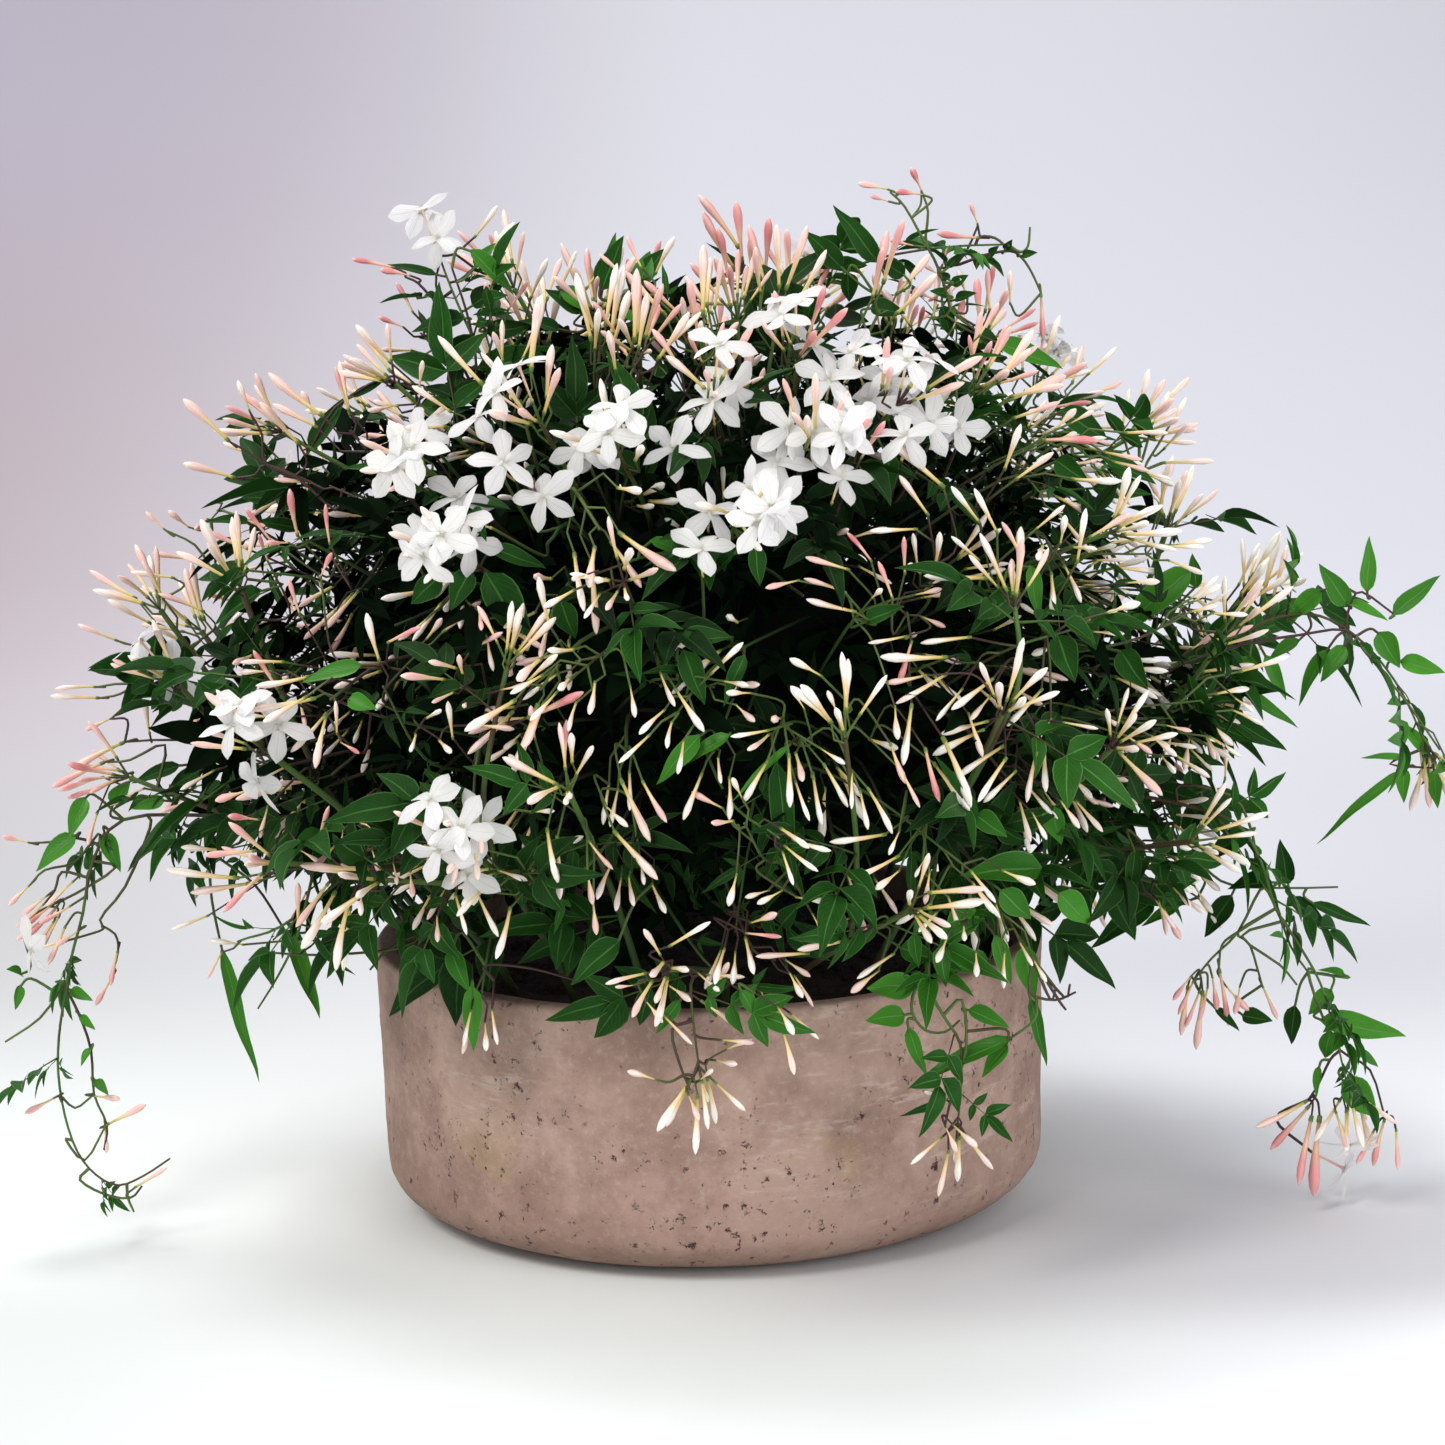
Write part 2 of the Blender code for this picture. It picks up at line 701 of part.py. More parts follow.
def pot_profile():
    outside = [(0, 0), (FOOT_RADIUS, 0)]
    for step in range(1, 5):
        a = math.pi / 2 * step / 4
        outside.append((FOOT_RADIUS + (WALL_RADIUS_LOW - FOOT_RADIUS) * math.sin(a),
                        CORNER_HEIGHT * (1 - math.cos(a))))
    outside += rounding(RIM_RADIUS, 1)
    inside = inner_corner() + rounding(wall_inside(POT_HEIGHT), -1)
    return outside + inside[::-1] + [(0, FLOOR_THICKNESS)]


def soil_profile():
    (floor, low), (corner, middle), (wall, high) = inner_corner()
    edge = wall_inside(SOIL_TOP) - GAP
    return [(0, low + GAP), (floor, low + GAP), (corner - GAP, middle + GAP), (wall - GAP, high),
            (edge, SOIL_TOP - 0.001), (0.65 * edge, SOIL_TOP + 0.001), (0, SOIL_TOP + 0.002)]


def make_soil(slot):
    """Soil with a slightly uneven top and a square hole for each stem."""
    soil = lathe("soil", soil_profile(), slot)
    for vert in soil.data.vertices:
        if vert.co.z > SOIL_TOP - 0.0005:
            vert.co.z += draw("soil", vert.index).uniform(-SOIL_BUMPS, SOIL_BUMPS)
    drills = []
    for foot, radius in vine_feet() + crown_feet():
        low, high = foot + Vector((0, 0, HOLE_FLOOR)), foot + Vector((0, 0, SOIL_TOP + 0.02))
        size = radius + GAP / math.cos(math.pi / STEM_SIDES)
        drills.append(tube([low, high], [size] * 2, STEM_SIDES))
    join(soil, drills, "DIFFERENCE")
    return soil


def join(made, pieces, operation):
    """Join pieces to an object with a Boolean on their collection.

    The object changes only if the result is sound, and the answer says so.
    Where thinning out the tiny edges spoils the result, they stay.
    """
    parts = bpy.data.collections.new("parts")
    bpy.context.scene.collection.children.link(parts)
    for number, piece in enumerate(pieces):
        part = mesh_object(f"part_{number:03d}", piece, made.data.materials[0])
        bpy.context.scene.collection.objects.unlink(part)
        parts.objects.link(part)
    cut = made.modifiers.new("join", "BOOLEAN")
    cut.operation = operation
    cut.operand_type = "COLLECTION"
    cut.collection = parts
    for solver, thin in (("EXACT", True), ("EXACT", False), ("MANIFOLD", True)):
        cut.solver = solver
        result = bpy.data.meshes.new_from_object(
            made.evaluated_get(bpy.context.evaluated_depsgraph_get()))
        if thin:
            thin_out(result)
        sound = is_sound(result)
        if sound:
            break
    made.modifiers.clear()
    if sound:
        made.data = result
    for part in list(parts.objects):
        bpy.data.objects.remove(part, do_unlink=True)
    bpy.data.collections.remove(parts)
    return sound


def thin_out(mesh):
    """Collapse the tiny edges that a union leaves, one by one, shortest first."""
    bm = bmesh.new()
    bm.from_mesh(mesh)
    bmesh.ops.triangulate(bm, faces=bm.faces)
    short = [edge for edge in bm.edges if edge.calc_length() < TINY_EDGE]
    short.sort(key=lambda edge: edge.calc_length())
    for edge in short:
        if edge.is_valid and edge.calc_length() < TINY_EDGE and can_collapse(edge):
            middle = (edge.verts[0].co + edge.verts[1].co) / 2
            bmesh.ops.pointmerge(bm, verts=list(edge.verts), merge_co=middle)
    bm.to_mesh(mesh)
    bm.free()


def can_collapse(edge):
    """Whether an edge can shrink to its middle with no fold and no pinch."""
    a, b = edge.verts
    near_a = {other.other_vert(a) for other in a.link_edges}
    near_b = {other.other_vert(b) for other in b.link_edges}
    if len(near_a & near_b) != 2 or len(near_a | near_b) < 6:
        return False
    middle = (a.co + b.co) / 2
    for face in set(a.link_faces) ^ set(b.link_faces):
        moved = [middle if vert in (a, b) else vert.co for vert in face.verts]
        normal = (moved[1] - moved[0]).cross(moved[2] - moved[0])
        if normal.length < 1e-10 or normal.normalized().dot(face.normal) < 0.5:
            return False
    return True


def is_sound(mesh):
    """Whether a mesh is closed, hangs together and touches itself nowhere."""
    bm = bmesh.new()
    bm.from_mesh(mesh)
    closed = all(len(edge.link_faces) == 2 for edge in bm.edges)
    spots = KDTree(len(bm.verts))
    for vert in bm.verts:
        spots.insert(vert.co, vert.index)
    spots.balance()
    touching = any(len(spots.find_range(vert.co, TOUCHING)) > 1 for vert in bm.verts)
    left = set(bm.verts)
    stack = [left.pop()]
    while stack:
        for edge in stack.pop().link_edges:
            for vert in edge.verts:
                if vert in left:
                    left.remove(vert)
                    stack.append(vert)
    bm.free()
    return closed and not left and not touching


def fuse(node, pieces, slot):
    """One closed body from the pieces of a node, without any that won't join."""
    made = mesh_object(node, pieces[0], slot)
    if len(pieces) > 1 and not join(made, pieces[1:], "UNION"):
        for piece in pieces[1:]:
            join(made, [piece], "UNION")
    return made


def build():
    start_clean()
    stone = material("stone", (0.40, 0.28, 0.23), 0.9)
    earth = material("earth", (0.07, 0.03, 0.02), 0.95)
    green = material("foliage", (0.03, 0.13, 0.03), 0.45)
    white = material("petals", (0.90, 0.88, 0.90), 0.5)

    garden = Garden()
    garden.blooms = 0
    pot = lathe("pot", pot_profile(), stone)
    pot_piece = ([vert.co.copy() for vert in pot.data.vertices],
                 [tuple(face.vertices) for face in pot.data.polygons])
    garden.add(pot_piece, "pot")
    garden.core = core()
    garden.add(garden.core, "crown")

    crown, vines = plan_hubs()
    ends = grow_vines(garden, vines) + grow_crown(garden, crown)
    for node, stem, path, bare, buds, flowers, key in ends:
        if buds or flowers:
            grow_end(garden, node, stem, path, buds, flowers, key)
    for node, stem, path, bare, buds, flowers, key in ends:
        leaves_on(garden, node, stem, path, bare, key)
    leaves_on_core(garden)

    make_soil(earth)
    for node, pieces in garden.pieces.items():
        fuse(node, pieces, white if node.startswith("bloom") else green)


build()
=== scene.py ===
# %% [markdown]
# # Potted jasmine
# A pink jasmine is a twining plant. Here it fills a low stone bowl with a dome of leafy stems
# that end in sprays of slender buds, and some of the buds have opened into white stars.
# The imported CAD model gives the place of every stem, leaf, bud and flower in a light, faceted
# form. This lesson dresses it: each cell makes one kind of piece from a few Blender operators.

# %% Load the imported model
import json
import math
import random
from collections import namedtuple

import bmesh
import bpy
from mathutils import Matrix, Vector, noise
from mathutils.kdtree import KDTree

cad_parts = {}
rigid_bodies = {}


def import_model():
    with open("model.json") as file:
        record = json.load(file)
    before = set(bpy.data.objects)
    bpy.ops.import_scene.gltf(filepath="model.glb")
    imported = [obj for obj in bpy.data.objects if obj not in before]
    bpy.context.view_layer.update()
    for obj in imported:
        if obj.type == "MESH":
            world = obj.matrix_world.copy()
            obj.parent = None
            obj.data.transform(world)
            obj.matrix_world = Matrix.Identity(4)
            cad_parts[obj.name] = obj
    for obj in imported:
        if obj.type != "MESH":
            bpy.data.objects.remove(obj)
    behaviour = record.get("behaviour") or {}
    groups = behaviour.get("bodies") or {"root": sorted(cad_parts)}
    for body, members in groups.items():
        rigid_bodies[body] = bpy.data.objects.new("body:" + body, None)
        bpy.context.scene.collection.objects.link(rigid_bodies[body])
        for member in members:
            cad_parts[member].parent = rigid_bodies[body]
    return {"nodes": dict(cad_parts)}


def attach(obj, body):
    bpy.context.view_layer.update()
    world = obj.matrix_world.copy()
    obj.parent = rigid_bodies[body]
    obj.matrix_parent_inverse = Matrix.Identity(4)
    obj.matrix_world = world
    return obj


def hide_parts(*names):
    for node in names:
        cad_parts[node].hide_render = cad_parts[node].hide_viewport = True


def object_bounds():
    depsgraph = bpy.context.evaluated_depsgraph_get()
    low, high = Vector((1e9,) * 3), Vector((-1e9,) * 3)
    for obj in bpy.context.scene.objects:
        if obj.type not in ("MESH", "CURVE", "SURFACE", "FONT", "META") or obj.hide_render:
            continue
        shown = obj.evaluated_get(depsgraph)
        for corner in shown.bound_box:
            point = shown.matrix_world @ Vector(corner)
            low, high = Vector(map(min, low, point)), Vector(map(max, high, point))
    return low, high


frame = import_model()
cad_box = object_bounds()
print("packed nodes:", len(frame["nodes"]))

# %% [markdown]
# ## The camera
# The pot's rim and foot are circles, and the ellipses that a photograph makes of them give the
# camera's height, pitch and distance. The picture is also turned by a degree and a half, so
# the camera rolls by as much. Sizes are in metres, with the pot's foot at the origin.

# %% Camera
CAMERA_AT = Vector((0.0075, -1.5, 0.469))
PITCH_DOWN = 10.72
ROLL = 1.51
LENS = 98.4
SENSOR = 36.0
PHOTO_SIZE = 1445


def camera_matrix():
    tilt = Matrix.Rotation(math.radians(90 - PITCH_DOWN), 4, "X")
    roll = Matrix.Rotation(math.radians(-ROLL), 4, "Z")
    return Matrix.Translation(CAMERA_AT) @ tilt @ roll


camera = bpy.data.objects.new("camera", bpy.data.cameras.new("camera"))
camera.data.lens = LENS
camera.data.sensor_width = SENSOR
camera.matrix_world = camera_matrix()
bpy.context.scene.collection.objects.link(camera)
bpy.context.scene.camera = camera


def ray_through(x, y):
    """The direction from the camera through a pixel of the photograph."""
    half = PHOTO_SIZE / 2
    focal = LENS / SENSOR * PHOTO_SIZE
    local = Vector(((x - half) / focal, (half - y) / focal, -1.0))
    return (camera_matrix().to_3x3() @ local).normalized()


# %% [markdown]
# ## The studio
# The bowl stands on a pale floor that curves up into a paper backdrop, so that no edge shows
# behind the plant. The sheet is one strip, extruded sideways from a bent line. Three large
# soft lamps light it: a key from the upper left, a fill from the right and a top light.

# %% Helpers for meshes
def draw(*key):
    """A random generator of its own for each thing that is placed, as in the CAD."""
    return random.Random("/".join(str(part) for part in key))


def link(thing):
    bpy.context.scene.collection.objects.link(thing)
    return thing


def to_object(bm, name, materials):
    """Turn a bmesh into a smooth-shaded object, and free it."""
    mesh = bpy.data.meshes.new(name)
    bm.to_mesh(mesh)
    bm.free()
    for material in materials:
        mesh.materials.append(material)
    mesh.shade_smooth()
    return link(bpy.data.objects.new(name, mesh))


# %% [markdown]
# ## Shaders written as arithmetic
# A node tree is easier to read as an expression. `Wire` wraps a node's output, so that
# `1 - wire * 0.5` adds the Math nodes that it names, and `Finish` makes any other node.

# %% Shader helpers
def plug(socket, value):
    """Give a socket a wire or a plain value."""
    if isinstance(value, Wire):
        socket.id_data.links.new(value.socket, socket)
    elif isinstance(value, tuple) and len(value) == 3 and socket.type == "RGBA":
        socket.default_value = (*value, 1.0)
    else:
        socket.default_value = value


class Wire:
    """A node's output, on which Python's operators add Math nodes."""

    def __init__(self, socket):
        self.socket = socket

    def maths(self, operation, *values):
        node = self.socket.id_data.nodes.new("ShaderNodeMath")
        node.operation = operation
        for socket, value in zip(node.inputs, values):
            plug(socket, value)
        return Wire(node.outputs[0])

    def __add__(self, other):
        return self.maths("ADD", self, other)

    def __radd__(self, other):
        return self.maths("ADD", other, self)

    def __sub__(self, other):
        return self.maths("SUBTRACT", self, other)

    def __rsub__(self, other):
        return self.maths("SUBTRACT", other, self)

    def __mul__(self, other):
        return self.maths("MULTIPLY", self, other)

    def __rmul__(self, other):
        return self.maths("MULTIPLY", other, self)

    def __abs__(self):
        return self.maths("ABSOLUTE", self)


class Finish:
    """A material with one Principled shader, whose constants are set on its sockets."""

    def __init__(self, name, **constants):
        self.material = bpy.data.materials.new(name)
        self.material.use_nodes = True
        self.tree = self.material.node_tree
        self.shader = self.tree.nodes["Principled BSDF"]
        self.inputs = {socket.name.lower().replace(" ", "_"): socket for socket in self.shader.inputs}
        for key, value in constants.items():
            self.inputs[key].default_value = value

    def node(self, kind, settings, inputs, output=0):
        made = self.tree.nodes.new("ShaderNode" + kind)
        for key, value in settings.items():
            setattr(made, key, value)
        for key, value in inputs.items():
            plug(made.inputs[key], value)
        return Wire(made.outputs[output])

    def place(self):
        return self.node("TexCoord", {}, {}, "Object")

    def noise(self, scale, detail=3.0, rough=0.55, at=None):
        inputs = {"Vector": at or self.place(), "Scale": scale, "Detail": detail, "Roughness": rough}
        return self.node("TexNoise", {}, inputs, "Fac")

    def step(self, value, low, high):
        """Zero below low, one above high, and smooth between."""
        inputs = {"Value": value, "From Min": low, "From Max": high}
        return self.node("MapRange", {"interpolation_type": "SMOOTHSTEP"}, inputs, "Result")

    def mix(self, share, first, second):
        made = self.tree.nodes.new("ShaderNodeMix")
        made.data_type = "RGBA"
        colours = [socket for socket in made.inputs if socket.type == "RGBA"]
        plug(made.inputs["Factor"], share)
        plug(colours[0], first)
        plug(colours[1], second)
        return Wire([socket for socket in made.outputs if socket.type == "RGBA"][0])

    def split(self, vector):
        made = self.tree.nodes.new("ShaderNodeSeparateXYZ")
        plug(made.inputs[0], vector)
        return [Wire(socket) for socket in made.outputs]

    def across_and_along(self):
        """The piece's own UV map: across a blade or round a tube, and along it."""
        return self.split(self.node("UVMap", {"uv_map": "shape"}, {}))[:2]

    def tint(self):
        """The tint that each leaf, bud or flower was given when it was placed; on leaves it carries
        painted light and shade.
        """
        return self.node("Attribute", {"attribute_name": "tint"}, {}, "Fac")

    def bump(self, height, distance, strength=1.0):
        inputs = {"Height": height, "Distance": distance, "Strength": strength}
        plug(self.shader.inputs["Normal"], self.node("Bump", {}, inputs))

    def wear(self, **wires):
        for key, value in wires.items():
            plug(self.inputs[key], value)
        return self.material


# %% Floor, backdrop and lamps
PAPER_WIDTH = 10.0
PAPER_BEND = (1.3, 2.0)
PAPER_TOP = 4.0


def make_paper():
    """The floor and the backdrop, as one bent strip."""
    bm = bmesh.new()
    start, radius = PAPER_BEND
    line = [Vector((0, -3.5, 0)), Vector((0, start, 0))]
    for step in range(1, 13):
        turn = math.pi / 2 * step / 12
        line.append(Vector((0, start + radius * math.sin(turn), radius * (1 - math.cos(turn)))))
    line.append(Vector((0, start + radius, PAPER_TOP)))
    verts = [bm.verts.new(point - Vector((PAPER_WIDTH / 2, 0, 0))) for point in line]
    edges = [bm.edges.new(pair) for pair in zip(verts, verts[1:])]
    made = bmesh.ops.extrude_edge_only(bm, edges=edges)
    moved = [part for part in made["geom"] if isinstance(part, bmesh.types.BMVert)]
    bmesh.ops.translate(bm, verts=moved, vec=(PAPER_WIDTH, 0, 0))
    bmesh.ops.recalc_face_normals(bm, faces=bm.faces)
    return to_object(bm, "paper", [paper_finish()])


def paper_finish():
    """Near-white floor paper with painted light and shade: it greys to lilac up the backdrop, darker
    on the left, and has painted shadows and a lighter patch on the floor round the bowl.
    """
    paper = Finish("paper", roughness=0.85)
    x, y, z = paper.split(paper.place())
    far = paper.step(y, 0.02, 1.1)
    left = 1 - paper.step(x, -0.72, 0.05)
    high = paper.step(z, 0.0, 0.40)
    # painted shade: the backdrop greys to lilac, darkest on the left and a little darker at the upper
    # right
    wall = paper.mix(left, (0.74, 0.74, 0.79), (0.48, 0.405, 0.43))
    wall = paper.mix(left * high * 0.8, wall, (0.535, 0.495, 0.595))
    wall = paper.mix(paper.step(x, 0.3, 1.0) * high * 0.5, wall, (0.58, 0.57, 0.62))
    # painted light on the floor's right, painted shade on its left
    floor = paper.mix(paper.step(x, 0.06, 0.20), (0.80, 0.825, 0.81), (0.90, 0.91, 0.94))
    floor = paper.mix(1 - paper.step(x, -0.40, -0.08), floor, (0.74, 0.78, 0.76))
    # painted shadow on the floor in front of the bowl, to its right
    before = 1 - paper.step(abs(y + 0.10), 0.03, 0.11)
    painted_shadow_side = paper.step(x, -0.04, 0.08) * (1 - paper.step(x, 0.28, 0.45))
    floor = paper.mix(before * painted_shadow_side * 0.6, floor, (0.52, 0.50, 0.53))
    # painted shade on the floor in front of the bowl, to its left
    corner = (1 - paper.step(y, -0.16, -0.02)) * (1 - paper.step(x, -0.25, -0.05))
    floor = paper.mix(corner * 0.5, floor, (0.50, 0.52, 0.52))
    tone = paper.mix(far, floor, wall)
    # painted shade: a grey band on the floor behind the bowl, deepest on the left
    painted_shade_band = paper.step(y, 0.05, 0.40) * (1 - paper.step(y, 0.50, 1.30))
    tone = paper.mix(painted_shade_band * 0.5, tone, (0.50, 0.50, 0.53))
    tone = paper.mix(painted_shade_band * paper.step(x, 0.1, 0.4) * 0.35, tone, (0.50, 0.50, 0.53))
    return paper.wear(base_color=paper.mix(left * painted_shade_band * 0.9, tone, (0.40, 0.39, 0.39)))


def lamp(name, place, aim, size, watts, colour=(1, 1, 1)):
    made = link(bpy.data.objects.new(name, bpy.data.lights.new(name, "AREA")))
    made.data.shape = "DISK"
    made.data.size = size
    made.data.energy = watts
    made.data.color = colour
    made.location = place
    made.rotation_euler = (Vector(aim) - Vector(place)).to_track_quat("-Z", "Y").to_euler()


paper = make_paper()
lamp("key", (-1.2, -1.4, 1.9), (0, 0, 0.2), 0.9, 31, (1.0, 0.98, 0.95))
lamp("fill", (1.6, -1.6, 0.9), (0, 0, 0.15), 1.4, 18)
lamp("top", (-0.75, 0.65, 2.1), (0, 0, 0.2), 0.9, 25)
world = bpy.data.worlds.new("studio")
bpy.context.scene.world = world
world.use_nodes = True
world.node_tree.nodes["Background"].inputs["Color"].default_value = (0.95, 0.97, 1.0, 1.0)
world.node_tree.nodes["Background"].inputs["Strength"].default_value = 0.70
bpy.context.scene.view_settings.view_transform = "Standard"

# %% [markdown]
# ## The stone bowl
# The bowl is cast from a gritty pinkish mix and rubbed by hand. It has a flat foot, a rounded
# lower corner and a nearly straight wall. A turned profile gives the form, and noise moves
# its corners by fractions of a millimetre so that the wall catches light unevenly.

# %% Bowl sizes, as in the CAD
RIM_RADIUS = 0.130
POT_HEIGHT = 0.104
FOOT_RADIUS = 0.094
WALL_RADIUS_LOW = 0.1285
CORNER_HEIGHT = 0.0185
WALL_THICKNESS = 0.0085
WALL_LEAN = 0.003
FLOOR_THICKNESS = 0.014
RIM_ROUNDING = 0.0022
POT_STEPS = 180


def wall_inside(height):
    return RIM_RADIUS - WALL_THICKNESS - WALL_LEAN * (1 - height / POT_HEIGHT)


def even_line(points, spacing):
    """The same line with corners no further apart than the spacing."""
    line = [points[0]]
    for a, b in zip(points, points[1:]):
        pieces = max(1, math.ceil((b - a).length / spacing))
        line += [a.lerp(b, step / pieces) for step in range(1, pieces + 1)]
    return line


def quarter(centre, wide, high, start, steps):
    """A quarter of an ellipse, from an angle in degrees on."""
    turns = [math.radians(start + 90 * step / steps) for step in range(steps + 1)]
    return [Vector((centre[0] + wide * math.cos(a), 0, centre[1] + high * math.sin(a)))
            for a in turns]


def spun(bm, points, steps, gap):
    """Faces spun round the Z axis from a line of points. Corners closer than the gap are joined."""
    old = set(bm.faces)
    verts = [bm.verts.new(point) for point in points]
    edges = [bm.edges.new(pair) for pair in zip(verts, verts[1:])]
    bmesh.ops.spin(bm, geom=verts + edges, axis=(0, 0, 1), cent=(0, 0, 0), angle=math.tau,
                   steps=steps, use_merge=True)
    made = [face for face in bm.faces if face not in old]
    bmesh.ops.remove_doubles(bm, verts=list({v for f in made for v in f.verts}), dist=gap)
    made = [face for face in bm.faces if face not in old]
    bmesh.ops.recalc_face_normals(bm, faces=made)
    return made


def turned(profile, steps):
    """A closed solid spun from a line of (radius, 0, height) points."""
    bm = bmesh.new()
    spun(bm, profile, steps, 1e-7)
    return bm


def bowl_profile():
    corner = (WALL_RADIUS_LOW - FOOT_RADIUS, CORNER_HEIGHT)
    lip, top = (RIM_ROUNDING, RIM_ROUNDING), POT_HEIGHT - RIM_ROUNDING
    line = [Vector((0, 0, 0))]
    line += quarter((FOOT_RADIUS, CORNER_HEIGHT), *corner, -90, 10)
    line += quarter((RIM_RADIUS - RIM_ROUNDING, top), *lip, 0, 4)
    line += quarter((wall_inside(POT_HEIGHT) + RIM_ROUNDING, top), *lip, 90, 4)
    line.append(Vector((wall_inside(0.034), 0, 0.034)))
    line.append(Vector((wall_inside(0.018) - 0.018, 0, FLOOR_THICKNESS)))
    line.append(Vector((0, 0, FLOOR_THICKNESS)))
    return even_line(line, 0.0022)


# %% Bowl
HAND_RUBBED = 0.00045
PIT_DEPTH = 0.0007


def stone_finish():
    """Pinkish cast stone: clouds of tone, ragged pits, pale rubbed strokes and ochre stains, with
    painted shade in the pits and towards the foot.
    """
    stone = Finish("stone", roughness=0.9, specular_ior_level=0.3)
    place = stone.place()
    height = stone.split(place)[2]
    clouds = stone.noise(22, 6, 0.66)
    grain = stone.noise(300, 5, 0.75)
    crumbs = stone.noise(95, 5, 0.72)
    stretched = stone.node("Mapping", {}, {"Vector": place, "Rotation": Vector((0.0, 0.6, 0.3)),
                                           "Scale": Vector((45, 45, 210))})
    strokes = stone.noise(1.0, 4, 0.7, stretched)
    brushed = stone.step(stone.noise(11, 1, 0.5), 0.52, 0.62)
    stains = stone.step(stone.noise(17, 3, 0.6), 0.58, 0.68) * (1 - stone.step(height, 0.02, 0.085))
    low = 1 - stone.step(height, 0.015, 0.10)
    worn = stone.step(stone.noise(26, 3, 0.6) + low * 0.10, 0.52, 0.60)
    ragged = 1 - stone.step(crumbs, 0.30, 0.36)
    small = 1 - stone.step(stone.noise(210, 5, 0.8), 0.34, 0.40)
    chipped = stone.step(stone.noise(30, 4, 0.7) + low * 0.06, 0.50, 0.58)
    pit = 1 - (1 - ragged * worn) * (1 - small * chipped)
    speck = 1 - stone.step(stone.noise(190, 4, 0.7), 0.27, 0.34)
    tone = stone.mix(stone.step(clouds, 0.36, 0.64), (0.285, 0.180, 0.143), (0.455, 0.31, 0.252))
    tone = stone.mix(stains * 0.45, tone, (0.40, 0.29, 0.14))
    tone = stone.mix(stone.step(strokes, 0.52, 0.66) * brushed * 0.45, tone, (0.60, 0.46, 0.40))
    tone = stone.mix(stone.step(grain, 0.5, 0.72) * 0.4, tone, (0.56, 0.43, 0.37))
    tone = stone.mix((1 - stone.step(grain, 0.28, 0.42)) * 0.45, tone, (0.20, 0.115, 0.09))
    # painted shade: darker towards the foot
    tone = stone.mix((1 - stone.step(height, 0.0, 0.055)) * 0.5, tone, (0.22, 0.13, 0.10))
    tone = stone.mix(speck * 0.6, tone, (0.11, 0.055, 0.05))
    # the pits are real hollows; their near-black colour is painted shade
    tone = stone.mix(pit * 0.92, tone, (0.040, 0.016, 0.016))
    relief = clouds * 0.6 + crumbs * 0.3 + grain * 0.2 + strokes * 0.25 - pit * 0.9 - speck * 0.3
    stone.bump(relief, 0.0014, 0.9)
    return stone.wear(base_color=tone)


def make_bowl():
    bm = turned(bowl_profile(), POT_STEPS)
    for vert in bm.verts:
        wide = Vector((vert.co.x, vert.co.y, 0))
        if wide.length > 0.08 and vert.co.z > 0.002:
            rubbed = noise.fractal(vert.co * 45, 0.8, 2.0, 4) * HAND_RUBBED - HAND_RUBBED
            pit = max(0.0, noise.noise(vert.co * 150) - 0.42) * -PIT_DEPTH * 4
            vert.co += wide.normalized() * (rubbed + pit)
    return to_object(bm, "bowl", [stone_finish()])


bowl = make_bowl()
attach(bowl, "root")
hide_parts("pot")
print("bowl faces:", len(bowl.data.polygons))

# %% [markdown]
# ## Soil
# The bowl is filled with dark, crumbly potting soil to a finger's width under the rim. Rings
# of faces are pushed up and down by noise, and crumbs are scattered where the plant lets the
# soil show.

# %% Soil
SOIL_TOP = 0.090
GAP = 0.0003
CRUMBS = 260


def earth_finish():
    earth = Finish("earth", roughness=0.95)
    grain = earth.noise(420, 4, 0.7)
    fibre = earth.noise(90, 5, 0.75)
    tone = earth.mix(earth.step(grain, 0.35, 0.7), (0.008, 0.004, 0.003), (0.055, 0.024, 0.016))
    tone = earth.mix(earth.step(fibre, 0.62, 0.75), tone, (0.13, 0.065, 0.04))
    earth.bump(grain + fibre, 0.0015, 1.0)
    return earth.wear(base_color=tone)


def make_soil():
    edge = wall_inside(SOIL_TOP) - GAP
    line = [Vector((0, 0, FLOOR_THICKNESS + GAP)), Vector((edge - 0.02, 0, FLOOR_THICKNESS + GAP)),
            Vector((edge - 0.001, 0, 0.036)), Vector((edge, 0, SOIL_TOP - 0.001)),
            Vector((0, 0, SOIL_TOP + 0.001))]
    bm = turned(even_line(line, 0.003), 96)
    for vert in bm.verts:
        if vert.co.z > SOIL_TOP - 0.0012:
            vert.co.z += noise.fractal(vert.co * 90, 0.9, 2.0, 4) * 0.0016
    dice = draw("crumbs")
    for number in range(CRUMBS):
        a, radius = dice.uniform(0, math.tau), edge * math.sqrt(dice.uniform(0.1, 0.96))
        size = dice.uniform(0.0008, 0.0030)
        made = bmesh.ops.create_icosphere(bm, subdivisions=1, radius=size)["verts"]
        for vert in made:
            vert.co *= 1 + 0.35 * noise.noise(vert.co * 900 + Vector((number, 0, 0)))
            vert.co.z *= 0.7
        spot = (radius * math.cos(a), radius * math.sin(a), SOIL_TOP + 0.3 * size)
        bmesh.ops.translate(bm, verts=made, vec=spot)
    return to_object(bm, "earth_fill", [earth_finish()])


soil = make_soil()
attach(soil, "root")
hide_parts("soil")

# %% [markdown]
# ## Finishes of the plant
# A jasmine leaflet is dark and glossy above with a paler midrib, and dull and lighter below;
# its paler edge is a painted highlight. A bud runs from a green cup through a yellow-green tube
# to a pink or white club. All of these follow the blade or the tube, so they read the piece's
# own map, and every leaf and bud has a tint of its own; on leaves the tint carries painted shade.

# %% Leaf finishes
def veins_of(finish, across, along_it):
    """Side veins that run forwards from the midrib, as thin pale bands."""
    slant = along_it * 9.0 - abs(across - 0.5) * 7.0
    wave = finish.node("Math", {"operation": "FRACT"}, {0: slant})
    return 1 - finish.step(abs(wave - 0.5), 0.03, 0.10)


